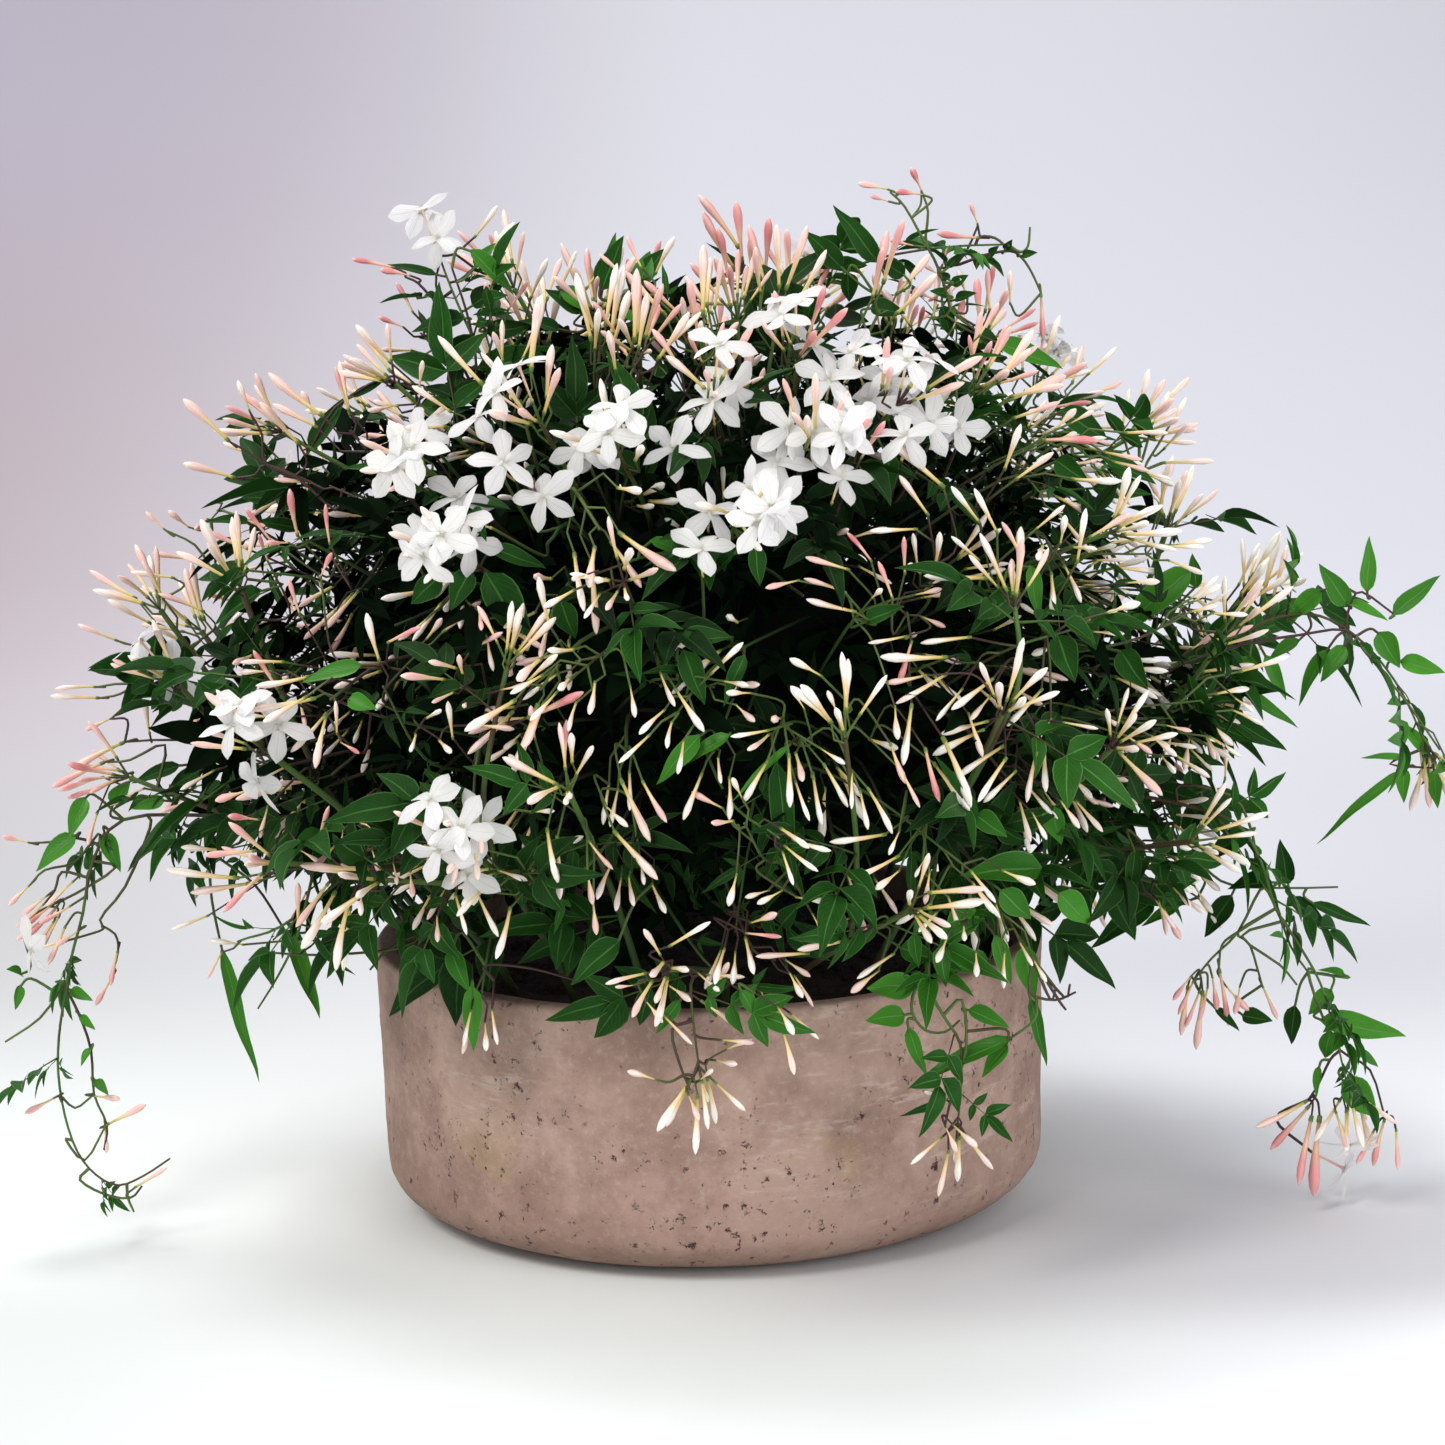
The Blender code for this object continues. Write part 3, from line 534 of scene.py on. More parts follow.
def leaf_finish():
    leaf = Finish("leaf", specular_ior_level=0.15)
    across, along_it = leaf.across_and_along()
    middle = abs(across - 0.5)
    tint = leaf.tint()
    mottle = leaf.noise(130, 3, 0.6)
    veins = veins_of(leaf, across, along_it)
    rib = 1 - leaf.step(middle, 0.015, 0.05)
    edge = leaf.step(middle, 0.445, 0.5)
    # painted shade through the tint: near-black deep in the plant, brighter green near its surface
    tone = leaf.mix(leaf.step(tint, 0.0, 0.6), (0.0005, 0.0022, 0.0005), (0.0068, 0.056, 0.0022))
    tone = leaf.mix(leaf.step(tint, 0.6, 1.0), tone, (0.060, 0.27, 0.018))
    tone = leaf.mix(leaf.step(mottle, 0.35, 0.75) * tint * 0.4, tone, (0.024, 0.14, 0.010))
    tone = leaf.mix(veins * tint * 0.35, tone, (0.07, 0.20, 0.035))
    tone = leaf.mix(rib * tint, tone, (0.10, 0.26, 0.06))
    # painted highlight: a paler edge, strongest on leaves near the surface
    tone = leaf.mix(edge * tint * 0.9, tone, (0.14, 0.30, 0.08))
    leaf.bump(mottle * 0.3 - veins * 0.5 - rib, 0.0004, 0.5)
    return leaf.wear(base_color=tone, roughness=0.82 - tint * 0.55)


def shade_finish():
    """Painted shade: a near-black finish for leaves in the depth of the plant, which get next to no
    light.
    """
    shade = Finish("shade", roughness=0.9, specular_ior_level=0.05)
    mottle = shade.noise(120, 2, 0.6)
    shade.bump(mottle, 0.0004, 0.4)
    return shade.wear(base_color=shade.mix(mottle, (0.0010, 0.0035, 0.0012), (0.0022, 0.010, 0.0022)))


def underleaf_finish():
    under = Finish("underleaf", roughness=0.7, specular_ior_level=0.1)
    across, along_it = under.across_and_along()
    tint = under.tint()
    rib = 1 - under.step(abs(across - 0.5), 0.02, 0.06)
    # painted shade through the tint: near-black deep in the plant
    tone = under.mix(under.step(tint, 0.0, 0.8), (0.0008, 0.0036, 0.0008), (0.030, 0.135, 0.018))
    tone = under.mix(rib * tint, tone, (0.16, 0.32, 0.10))
    under.bump(under.noise(200) + rib, 0.0003, 0.4)
    return under.wear(base_color=tone)


# %% Stem, stalk, bud and petal finishes
CENTRE = Vector((0.0, 0.0, 0.190))
RADII = Vector((0.205, 0.180, 0.174))


def depth_in(finish):
    """Nought in the depth of the dome and one at its surface: the mask of the painted shade on stems
    and stalks.
    """
    away = finish.node("VectorMath", {"operation": "SUBTRACT"}, {0: finish.place(), 1: CENTRE})
    share = finish.node("VectorMath", {"operation": "DIVIDE"}, {0: away, 1: RADII})
    reach = finish.node("VectorMath", {"operation": "LENGTH"}, {0: share}, "Value")
    return finish.step(reach, 0.62, 0.98)


def stem_finish():
    """Green young wood that turns purple-brown in patches, and near-black in the depth of the dome as
    painted shade.
    """
    stem = Finish("stem", roughness=0.5, specular_ior_level=0.25)
    patch = stem.step(stem.noise(22, 3, 0.6), 0.42, 0.62)
    fine = stem.noise(600, 2, 0.6)
    tone = stem.mix(patch, (0.055, 0.14, 0.022), (0.055, 0.030, 0.018))
    tone = stem.mix(fine * 0.25, tone, (0.16, 0.17, 0.06))
    stem.bump(fine, 0.0002, 0.4)
    # painted shade: near-black in the depth of the dome
    return stem.wear(base_color=stem.mix(depth_in(stem), (0.004, 0.008, 0.003), tone))


def stalk_finish():
    """Flower stalks: green and dark plum in patches, and near-black deeper in as painted shade."""
    stalk = Finish("stalk", roughness=0.5, specular_ior_level=0.25)
    patch = stalk.step(stalk.noise(12, 2, 0.5), 0.44, 0.56)
    fine = stalk.noise(500, 2, 0.6)
    tone = stalk.mix(patch, (0.085, 0.15, 0.03), (0.045, 0.018, 0.022))
    tone = stalk.mix(fine * 0.3, tone, (0.13, 0.09, 0.06))
    stalk.bump(fine, 0.0002, 0.3)
    # painted shade: near-black in the depth of the dome
    return stalk.wear(base_color=stalk.mix(depth_in(stalk), (0.010, 0.016, 0.005), tone))


GREEN_CUP = (0.12, 0.19, 0.025)
YELLOW_TUBE = (0.56, 0.45, 0.11)
CREAM = (0.86, 0.66, 0.34)
PALE_BLUSH = (0.91, 0.67, 0.58)
WHITE = (0.97, 0.95, 0.85)
ROSE = (0.81, 0.35, 0.34)
DEEP_ROSE = (0.62, 0.18, 0.19)


def bud_finish():
    """From the cup up: green, yellow-green, cream, then a white or a rosy club."""
    bud = Finish("bud", roughness=0.48)
    around, up = bud.across_and_along()
    tint = bud.tint()
    streak = bud.node("Math", {"operation": "FRACT"}, {0: around * 5.0})
    seam = 1 - bud.step(abs(streak - 0.5), 0.0, 0.16)
    club = bud.mix(bud.step(tint, 0.15, 0.6), WHITE, PALE_BLUSH)
    club = bud.mix(bud.step(tint, 0.5, 0.85), club, ROSE)
    club = bud.mix(bud.step(tint, 0.8, 1.0), club, DEEP_ROSE)
    tube = bud.mix(bud.step(up, 0.12, 0.42), YELLOW_TUBE, CREAM)
    tube = bud.mix(bud.step(tint, 0.55, 1.0) * 0.6, tube, ROSE)
    tone = bud.mix(bud.step(up, 0.42, 0.68), tube, club)
    tone = bud.mix(bud.step(up, 0.86, 1.0) * 0.45, tone, WHITE)
    blush = bud.step(bud.noise(90, 1, 0.5), 0.46, 0.56)
    tone = bud.mix(blush * bud.step(up, 0.15, 0.5) * (0.08 + tint * 0.36), tone, ROSE)
    tone = bud.mix(seam * bud.step(up, 0.2, 0.5) * 0.34, tone, ROSE)
    tone = bud.mix(1 - bud.step(up, 0.07, 0.12), tone, GREEN_CUP)
    bud.bump(seam + bud.noise(300) * 0.4, 0.0002, 0.4)
    return bud.wear(base_color=tone)


def petal_finish():
    petal = Finish("petal", roughness=0.6, subsurface_weight=0.55, subsurface_scale=0.004,
                   subsurface_radius=(1.0, 1.0, 1.0), specular_ior_level=0.2)
    across, along_it = petal.across_and_along()
    fold = 1 - petal.step(abs(across - 0.5), 0.0, 0.06)
    fan_wave = petal.node("Math", {"operation": "SINE"}, {0: (across - 0.5) * 60.0})
    throat = 1 - petal.step(along_it, 0.0, 0.30)
    edge = petal.step(abs(across - 0.5), 0.42, 0.5)
    tone = petal.mix(petal.tint() * 0.5, (0.98, 0.98, 0.96), (0.93, 0.88, 0.91))
    tone = petal.mix((fan_wave * 0.5 + 0.5) * 0.20, tone, (0.84, 0.83, 0.86))
    # painted shade: greyer along the petal's fold
    tone = petal.mix(fold * 0.40, tone, (0.66, 0.64, 0.70))
    # painted shade: greyer at the petal's edges
    tone = petal.mix(edge * 0.25, tone, (0.74, 0.72, 0.77))
    tone = petal.mix(throat * 0.5, tone, (0.74, 0.73, 0.55))
    petal.bump(fan_wave * 0.4 - fold, 0.00015, 0.5)
    return petal.wear(base_color=tone)


LEAF, UNDERLEAF, STEM, STALK, BUD, PETAL, SHADE = range(7)
FINISHES = [leaf_finish(), underleaf_finish(), stem_finish(), stalk_finish(), bud_finish(),
            petal_finish(), shade_finish()]

# %% [markdown]
# ## One leaflet, then a leaf
# A leaf is a thin stalk with two or three pairs of side leaflets and a longer, pointed one at
# its end. A leaflet starts as a small grid. Its corners move to an outline that is widest
# near a third of its length, with a fold along the midrib and a droop towards the tip. A
# copy of the grid, turned over and welded along the edge, makes the underside. Six leaves are
# made once and then stamped hundreds of times, so each has only a few hundred triangles.

# %% Leaflet and leaf
TINY = 1e-4
SHARP_EDGE = 1.2


def leaf_outline(t):
    return math.sin(math.pi * min(1.0, t ** 0.72)) ** 0.85 * (1.06 - 0.35 * t)


def petal_outline(t):
    """Narrow at the throat, widest past the middle and blunt at the tip."""
    return min(1.0, 0.36 + 1.0 * t) * (1 - max(0.0, (t - 0.55) / 0.45) ** 2.4)


def shaped_blade(bm, length, width, droop, fold, twist, start, turn, tops, rows=6):
    """A closed blade along +X from its start, turned by an angle about Z.

    The width and the other shares are of the blade's own length.
    """
    top = bmesh.ops.create_grid(bm, x_segments=rows, y_segments=2, size=0.5)["verts"]
    shape = bm.loops.layers.uv["shape"]
    spots = {}
    for vert in top:
        t, side = vert.co.x + 0.5, vert.co.y * 2
        outline = petal_outline if tops == PETAL else leaf_outline
        half = width / 2 * max(outline(t), 0.0) + 0.012 * (1 - t)
        spots[vert] = (t, side)
        lift = fold * abs(side) * half * 2 - droop * t * t + twist * side * t * half
        vert.co = Vector((t, side * half + 0.015 * math.sin(9 * t) * t, lift)) * length
    faces = {face for vert in top for face in vert.link_faces}
    for face in faces:
        face.material_index = tops
        for loop in face.loops:
            t, side = spots[loop.vert]
            loop[shape].uv = (side / 2 + 0.5, t)
    made = bmesh.ops.duplicate(bm, geom=list(faces) + list(top))
    copies = [part for part in made["geom"] if isinstance(part, bmesh.types.BMFace)]
    bmesh.ops.reverse_faces(bm, faces=copies)
    thin = {vert for face in copies for vert in face.verts}
    for face in copies:
        face.material_index = tops + 1 if tops == LEAF else tops
    for vert in thin:
        if not any(edge.is_boundary for edge in vert.link_edges):
            vert.co.z -= 0.012 * length
    both = list(thin) + list(top)
    bmesh.ops.remove_doubles(bm, verts=both, dist=TINY * length)
    both = [vert for vert in both if vert.is_valid]
    bmesh.ops.recalc_face_normals(bm, faces=list({face for vert in both for face in vert.link_faces}))
    for edge in {edge for vert in both for edge in vert.link_edges}:
        edge.smooth = edge.calc_face_angle(0.0) < SHARP_EDGE
    bmesh.ops.rotate(bm, verts=both, cent=(0, 0, 0), matrix=turn)
    bmesh.ops.translate(bm, verts=both, vec=start)


def new_master():
    bm = bmesh.new()
    bm.loops.layers.uv.new("shape")
    bm.verts.layers.float.new("tint")
    return bm


def keep_master(bm, name):
    mesh = bpy.data.meshes.new(name)
    bm.to_mesh(mesh)
    bm.free()
    mesh.shade_smooth()
    return mesh


def thread(bm, points, radii, sides, slot):
    """A closed, tapering tube along a few points, with its map round and along it."""
    shape = bm.loops.layers.uv["shape"]
    rings = []
    for k, (point, radius) in enumerate(zip(points, radii)):
        way = points[min(k + 1, len(points) - 1)] - points[max(k - 1, 0)]
        turn = way.to_track_quat("Z", "Y").to_matrix().to_4x4()
        ring = bmesh.ops.create_circle(bm, segments=sides, radius=radius, cap_ends=False,
                                       matrix=Matrix.Translation(point) @ turn)["verts"]
        rings.append(ring)
    made = []
    for low, high in zip(rings, rings[1:]):
        edges = [edge for ring in (low, high) for edge in ring_edges(ring)]
        made += bmesh.ops.bridge_loops(bm, edges=edges)["faces"]
    for ring in (rings[0], rings[-1]):
        made += bmesh.ops.contextual_create(bm, geom=ring_edges(ring))["faces"]
    level = {vert: k / (len(rings) - 1) for k, ring in enumerate(rings) for vert in ring}
    for face in made:
        face.material_index = slot
        for loop in face.loops:
            loop[shape].uv = (0.5, level[loop.vert])
    bmesh.ops.recalc_face_normals(bm, faces=made)


def ring_edges(ring):
    inside = set(ring)
    return [edge for vert in ring for edge in vert.link_edges
            if edge.other_vert(vert) in inside and edge.verts[0] is vert]


def make_leaf(number, pairs, width, end_length, droop):
    """A whole leaf, one unit long: its stalk lies along +X and its upper side faces +Z."""
    dice = draw("leaf master", number)
    bm = new_master()
    stalk = [Vector((0, 0, 0)), Vector((0.2, 0, 0.012)), Vector((1.02 - end_length, 0, -0.004))]
    thread(bm, stalk, (0.011, 0.008, 0.006), 3, STEM)
    for k, (at, length) in enumerate(pairs):
        for side in (-1, 1):
            angle = side * math.radians(62 - 6 * k + dice.uniform(-9, 9))
            turn = (Matrix.Rotation(angle, 3, "Z") @ Matrix.Rotation(dice.uniform(-0.35, 0.35), 3, "X")
                    @ Matrix.Rotation(dice.uniform(-0.1, 0.3), 3, "Y"))
            size = length * dice.uniform(0.88, 1.12)
            shaped_blade(bm, size, width * 1.15, dice.uniform(0.05, 0.28), dice.uniform(0.15, 0.40),
                         dice.uniform(-0.6, 0.6), Vector((at, 0, 0.005)), turn, LEAF)
    turn = Matrix.Rotation(dice.uniform(-0.12, 0.12), 3, "Z")
    shaped_blade(bm, end_length, width * 0.78, droop, dice.uniform(0.2, 0.4),
                 dice.uniform(-0.5, 0.5), Vector((1 - end_length, 0, 0)), turn, LEAF, rows=8)
    return keep_master(bm, f"leaf_{number}")


PAIRS_5 = [(0.22, 0.28), (0.44, 0.34)]
PAIRS_7 = [(0.14, 0.21), (0.32, 0.27), (0.50, 0.30)]
LEAVES = [
    make_leaf(0, PAIRS_5, 0.44, 0.50, 0.20), make_leaf(1, PAIRS_7, 0.44, 0.43, 0.26),
    make_leaf(2, PAIRS_5, 0.38, 0.53, 0.16), make_leaf(3, PAIRS_7, 0.48, 0.42, 0.12),
    make_leaf(4, PAIRS_5, 0.48, 0.49, 0.32), make_leaf(5, PAIRS_7, 0.40, 0.45, 0.24),
]


def make_single(number, width):
    """One blade by itself, for the leaves that are placed from the photograph."""
    bm = new_master()
    shaped_blade(bm, 1.0, width, 0.10, 0.25, 0.3, Vector((0, 0, 0)), Matrix.Identity(3), LEAF, 9)
    return keep_master(bm, f"single_{number}")


SINGLE_WIDTHS = (0.08, 0.16, 0.26, 0.38, 0.52)
SINGLES = [make_single(number, width * 1.15) for number, width in enumerate(SINGLE_WIDTHS)]
YOUNG_LEAVES = [make_leaf(6 + k, [(0.34, 0.30)], 0.27, 0.64, 0.18 + 0.1 * k) for k in range(2)]
print("leaf faces:", [len(mesh.polygons) for mesh in LEAVES])

# %% [markdown]
# ## Buds and flowers
# A bud is a slender trumpet, shut at the end: a small cup, a thin tube, and a club that comes
# to a point. It is turned from a short profile. A flower is the same tube with the club opened
# into five pointed petals, and each petal is the leaflet's blade made shorter and broader.

# %% Bud and flower
BUD_PROFILE = [(0.000, 0.000), (0.010, 0.030), (0.085, 0.036), (0.10, 0.025), (0.36, 0.034),
               (0.58, 0.054), (0.76, 0.070), (0.88, 0.057), (0.965, 0.026), (1.0, 0.000)]
TUBE_PROFILE = [(0.00, 0.00), (0.02, 0.034), (0.13, 0.042), (0.15, 0.026), (0.85, 0.034),
                (1.00, 0.060)]


def turned_tube(bm, profile, sides, slot, bend):
    """A shape spun round +Z from (height, radius) pairs, then bent towards +X."""
    shape = bm.loops.layers.uv["shape"]
    made = spun(bm, [(radius, 0, height) for height, radius in profile], sides, TINY)
    for face in made:
        face.material_index = slot
        turns = [math.atan2(loop.vert.co.y, loop.vert.co.x) / math.tau % 1.0 for loop in face.loops]
        for loop, turn in zip(face.loops, turns):
            turn += 1.0 if max(turns) - turn > 0.5 else 0.0
            loop[shape].uv = (turn, loop.vert.co.z)
    for vert in {vert for face in made for vert in face.verts}:
        vert.co.x += bend * vert.co.z * vert.co.z


def make_bud(number, bend, plump):
    bm = new_master()
    profile = [(height, radius * (plump if height > 0.5 else 1.0)) for height, radius in BUD_PROFILE]
    turned_tube(bm, profile, 6, BUD, bend)
    return keep_master(bm, f"bud_{number}")


def make_flower(number):
    """One unit is the tube's length. The petals' middle is at the tube's end."""
    dice = draw("flower master", number)
    bm = new_master()
    turned_tube(bm, TUBE_PROFILE, 8, BUD, 0.0)
    for k in range(5):
        lean = dice.uniform(-0.42, 0.26)
        turn = (Matrix.Rotation(math.tau * k / 5 + dice.uniform(-0.06, 0.06), 3, "Z")
                @ Matrix.Rotation(lean, 3, "Y") @ Matrix.Rotation(dice.uniform(-0.4, 0.4), 3, "X"))
        shaped_blade(bm, PETAL_RADIUS / TUBE_LENGTH * dice.uniform(0.88, 1.12), 0.53,
                     dice.uniform(0.0, 0.45), dice.uniform(-0.08, 0.12), dice.uniform(-0.6, 0.6),
                     Vector((0, 0, 0.985)), turn, PETAL, rows=8)
    return keep_master(bm, f"flower_{number}")


PETAL_RADIUS = 0.0128
TUBE_LENGTH = 0.015
BUDS = [make_bud(k, bend, plump) for k, (bend, plump) in
        enumerate([(0.0, 1.0), (0.05, 0.85), (-0.07, 1.1), (0.10, 0.95)])]
SHORT_BUDS = [make_bud(4 + k, bend, plump) for k, (bend, plump) in
              enumerate([(0.03, 1.35), (-0.05, 1.6)])]
FLOWERS = [make_flower(k) for k in range(5)]

# %% [markdown]
# ## The plan of the plant
# Every stem, leaf, bud and flower of the CAD was placed by one rule, with a random draw keyed
# by its name. The same rule is walked again here. Where the CAD tried several places for a
# piece and kept the first that was clear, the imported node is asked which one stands.

# %% The dome
CORE_REACH = 0.56
CORE_FLOOR = 0.110


def dome(around, up, reach):
    """The point at an azimuth and an elevation of the dome."""
    a, u = math.radians(around), math.radians(up)
    way = Vector((math.cos(u) * math.sin(a), -math.cos(u) * math.cos(a), math.sin(u)))
    return CENTRE + Vector(way * RADII) * reach


def outward(point):
    away = point - CENTRE
    return Vector([away[k] / RADII[k] ** 2 for k in range(3)]).normalized()


def reach_of(point):
    away = point - CENTRE
    return Vector([away[k] / RADII[k] for k in range(3)]).length


def seen_on_dome(x, y, reach=1.0):
    """Where the ray through a pixel of the photograph first meets the dome."""
    way = ray_through(x, y)
    start = Vector([(CAMERA_AT[k] - CENTRE[k]) / (RADII[k] * reach) for k in range(3)])
    ray = Vector([way[k] / (RADII[k] * reach) for k in range(3)])
    a, b, c = ray.dot(ray), start.dot(ray), start.dot(start) - 1
    inside = b * b - a * c
    distance = (-b - math.sqrt(inside)) / a if inside > 0 else -b / a
    return CAMERA_AT + way * distance


def jitter(dice, size):
    return Vector([dice.uniform(-size, size) for _ in range(3)])


def clamp(value, low=0.0):
    return min(1.0, max(low, value))


def smooth_path(points, steps):
    """Points along a Catmull-Rom curve through the way-points."""
    ends = [points[0] * 2 - points[1]] + list(points) + [points[-1] * 2 - points[-2]]
    path = [points[0]]
    for a, b, c, d in zip(ends, ends[1:], ends[2:], ends[3:]):
        for step in range(1, steps + 1):
            t = step / steps
            path.append(0.5 * (2 * b + (c - a) * t + (2 * a - 5 * b + 4 * c - d) * t * t
                               + (3 * b - a - 3 * c + d) * t ** 3))
    return path


def along(path, distance):
    """The point and the direction at a distance from the path's start."""
    for a, b in zip(path, path[1:]):
        length = (b - a).length
        if distance <= length or b is path[-1]:
            return a.lerp(b, min(1.0, distance / length)), (b - a).normalized()
        distance -= length


def path_length(path):
    return sum((b - a).length for a, b in zip(path, path[1:]))


def axes_for(way, face):
    """A frame with X along the way and Z as near to the face as it can be."""
    x = way.normalized()
    y = face.cross(x).normalized()
    return x, y, x.cross(y)


# %% [markdown]
# ## Numbers of the rule
# These are the CAD's own driving values: how many vines, how long a leaf, and the places of
# the sprays and the long hanging shoots, which were read from the photograph.

# %% Driving values, as in the CAD
HOLE_FLOOR = 0.066
VINES = 24
VINE_TURN = 2.6
VINE_RING = 0.106
VINE_RADIUS = 0.0017
SHOOT_RADIUS = 0.0011
SHOOT_TIP = 0.0009
MAIN_BARE = 0.060
TRAIL_BARE = 0.020
SIDE_BARE = 0.012
CROWN_BARE = 0.050
LEAF_SPACING = 0.044
LEAF_LENGTH = 0.070
LEAFLESS_TIP = 0.016
BUD_LENGTH = 0.026
HUB_AHEAD = 0.00035
STALK_LENGTH = 0.007
TRIES = 10
CROWN_SPRAYS = [
    (19, 74, 0.92), (-46, 75, 0.92), (-12, 62, 0.94), (54, 50, 0.96), (88, 36, 1.00),
    (56, 27, 0.98), (-8, 26, 0.98), (-90, 40, 1.00), (-62, 52, 0.98),
]
VINE_SPRAYS = [
    (86, 13, 1.04), (35, 20, 1.00), (31, 8, 1.00), (45, 2, 1.00), (14, 7, 1.00),
    (-13, 2, 1.00), (-20, 16, 0.98), (-34, -10, 1.00), (-4, -20, 1.00), (21, -14, 1.00),
    (-61, 22, 1.00), (-86, 15, 1.04), (-79, -4, 1.08), (-49, -10, 1.00), (60, -12, 1.02),
]
FRONT_BUNCHES = [
    (-36, 39, 1.00, 3), (-22, 46, 1.00, 2), (-28, 29, 1.00, 3), (-10, 42, 1.00, 2),
    (3, 50, 1.00, 1), (20, 57, 0.98, 2), (31, 47, 1.00, 3), (16, 42, 1.00, 2),
    (5, 33, 1.00, 3), (-24, -4, 1.02, 3), (-73, 8, 1.00, 1), (-48, 4, 1.02, 2),
]
BACK_SPRAYS = 15
BACK_BUNCHES = 8
TRAILS = [
    (-75, [(-222, -24, 158), (-238, -34, 124), (-246, -40, 92), (-249, -45, 64),
           (-242, -54, 36), (-226, -60, 24), (-206, -60, 34)], 0, 0),
    (-75, [(-222, -44, 152), (-246, -50, 134)], 5, 1),
    (75, [(200, -46, 150), (214, -52, 118), (230, -58, 90), (240, -60, 50)], 4, 1),
    (90, [(209, -15, 218), (240, -20, 222), (264, -20, 198), (276, -20, 172)], 4, 0),
    (30, [(77, -154, 120), (88, -158, 98), (87, -154, 68)], 3, 0),
    (0, [(-6, -158, 122), (-4, -157, 92)], 5, 0),
    (-60, [(-150, -92, 128), (-166, -92, 100)], 0, 0),
    (None, [(-34, -18, 246), (-52, -26, 282), (-74, -28, 322), (-88, -18, 352), (-94, -12, 368)],
     3, 1),
    (None, [(20, 5, 250), (34, 8, 300), (50, 8, 350), (84, 4, 364), (120, 0, 366)], 4, 0),
]

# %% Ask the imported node
SAME_SPOT = 1e-4
BESIDE_STEM = 0.0014


def corner_tree(thing):
    tree = KDTree(len(thing.data.vertices))
    for vert in thing.data.vertices:
        tree.insert(vert.co, vert.index)
    tree.balance()
    return tree


corners = {name: corner_tree(thing) for name, thing in frame["nodes"].items()}
bloom_nodes = sorted(name for name in corners if name.startswith("bloom"))


def stands(node, point):
    """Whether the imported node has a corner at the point."""
    return corners[node].find(point)[2] < SAME_SPOT


def standing_stem(node, paths):
    """The one of the rule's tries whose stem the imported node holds."""
    for path in paths:
        if all(corners[node].find(point)[2] < BESIDE_STEM for point in path[1:-1]):
            return path
    return None


# %% Walk the rule: stems
# A stem of the CAD, with what it carries.
Shoot = namedtuple("Shoot", "node path radii bare buds flowers key")


def vine_around(k):
    return (360 * k / VINES + VINE_TURN + 180) % 360 - 180


def ring_spot(degrees, radius):
    a = math.radians(degrees)
    return Vector((math.sin(a), -math.cos(a), 0)) * radius


def vine_waypoints(around, hub):
    """From the root in the soil, over the rim and up the dome to the hub."""
    root = ring_spot(around, VINE_RING)
    points = [root + Vector((0, 0, HOLE_FLOOR + GAP)), root + Vector((0, 0, SOIL_TOP + 0.006))]
    points.append(ring_spot(around, VINE_RING + 0.010) + Vector((0, 0, 0.114)))
    if hub[1] > -14:
        turn = (hub[0] - around + 180) % 360 - 180
        points.append(dome(around + 0.4 * turn, (hub[1] - 30) / 2, 0.80))
    points.append(dome(*hub))
    return points


def nearest_vine(around):
    return round((around - VINE_TURN) * VINES / 360) % VINES


def side_points(start, hub, dice):
    """Way-points from a stem out to a hub, bowed sideways by a drawn amount."""
    middle = start.lerp(hub, 0.5)
    middle += outward(middle) * 0.008 + jitter(dice, 0.006)
    return [start, middle, hub]


def taper(path, start, end):
    return [start + (end - start) * k / (len(path) - 1) for k in range(len(path))]


def plan_hubs():
    """What each vine carries, and what the crown does: hub, buds, flowers."""
    hubs = [(hub, 5, 0) for hub in CROWN_SPRAYS + VINE_SPRAYS]
    hubs += [(tuple(hub), 2, flowers) for *hub, flowers in FRONT_BUNCHES]
    for k in range(BACK_SPRAYS):
        around = 105 + 150 * ((k * 0.618 + 0.3) % 1.0)
        hubs.append(((around, -20 + 92 * (k + 0.5) / BACK_SPRAYS, 1.0), 4, 0))
    for k in range(BACK_BUNCHES):
        around = 105 + 150 * ((k * 0.618) % 1.0)
        hubs.append(((around, -4 + 66 * (k + 0.5) / BACK_BUNCHES, 1.0), 2, 1 + k % 3))
    crown, vines = [], {k: [] for k in range(VINES)}
    for plan in hubs:
        if plan[0][1] > 24:
            crown.append(plan)
        else:
            vines[nearest_vine(plan[0][0])].append(plan)
    return crown, vines


def add_shoot(shoots, node, tries, bare, buds, flowers, key):
    path = standing_stem(node, tries)
    if path:
        shoots.append(Shoot(node, path, (SHOOT_RADIUS, SHOOT_TIP), bare, buds, flowers, key))


def main_stem(k, plans):
    around = vine_around(k)
    if not plans:
        plans.append(((around, 10 if k % 2 else -18, 1.0), 3, 0))
    plans.sort(key=lambda plan: abs((plan[0][0] - around + 180) % 360 - 180))
    hub, buds, flowers = plans[0]
    foot, *upper = vine_waypoints(around, hub)
    path = [foot] + smooth_path(upper, 2)
    return Shoot(f"vine_{k + 1:02d}", path, (VINE_RADIUS, SHOOT_RADIUS), MAIN_BARE, buds, flowers,
                 (k, 0))


def vine_shoots(vines):
    mains = {k: main_stem(k, plans) for k, plans in vines.items()}
    shoots = list(mains.values())
    for number, (around, stops, buds, flowers) in enumerate(TRAILS):
        if around is not None:
            main = mains[nearest_vine(around)]
            start = along(main.path, path_length(main.path) * 0.6)[0]
            path = smooth_path([start] + [Vector(stop) / 1000 for stop in stops], 2)
            add_shoot(shoots, main.node, [path], TRAIL_BARE, buds, flowers, ("trail", number))
    for k, plans in vines.items():
        main = mains[k]
        for number, (hub, buds, flowers) in enumerate(plans[1:], 1):
            tries = []
            for attempt in range(TRIES):
                dice = draw("shoot", k, number, attempt)
                start = along(main.path, path_length(main.path) * dice.uniform(0.5, 0.75))[0]
                tries.append(smooth_path(side_points(start, dome(*hub), dice), 2))
            add_shoot(shoots, main.node, tries, SIDE_BARE, buds, flowers, (k, number))
    return shoots


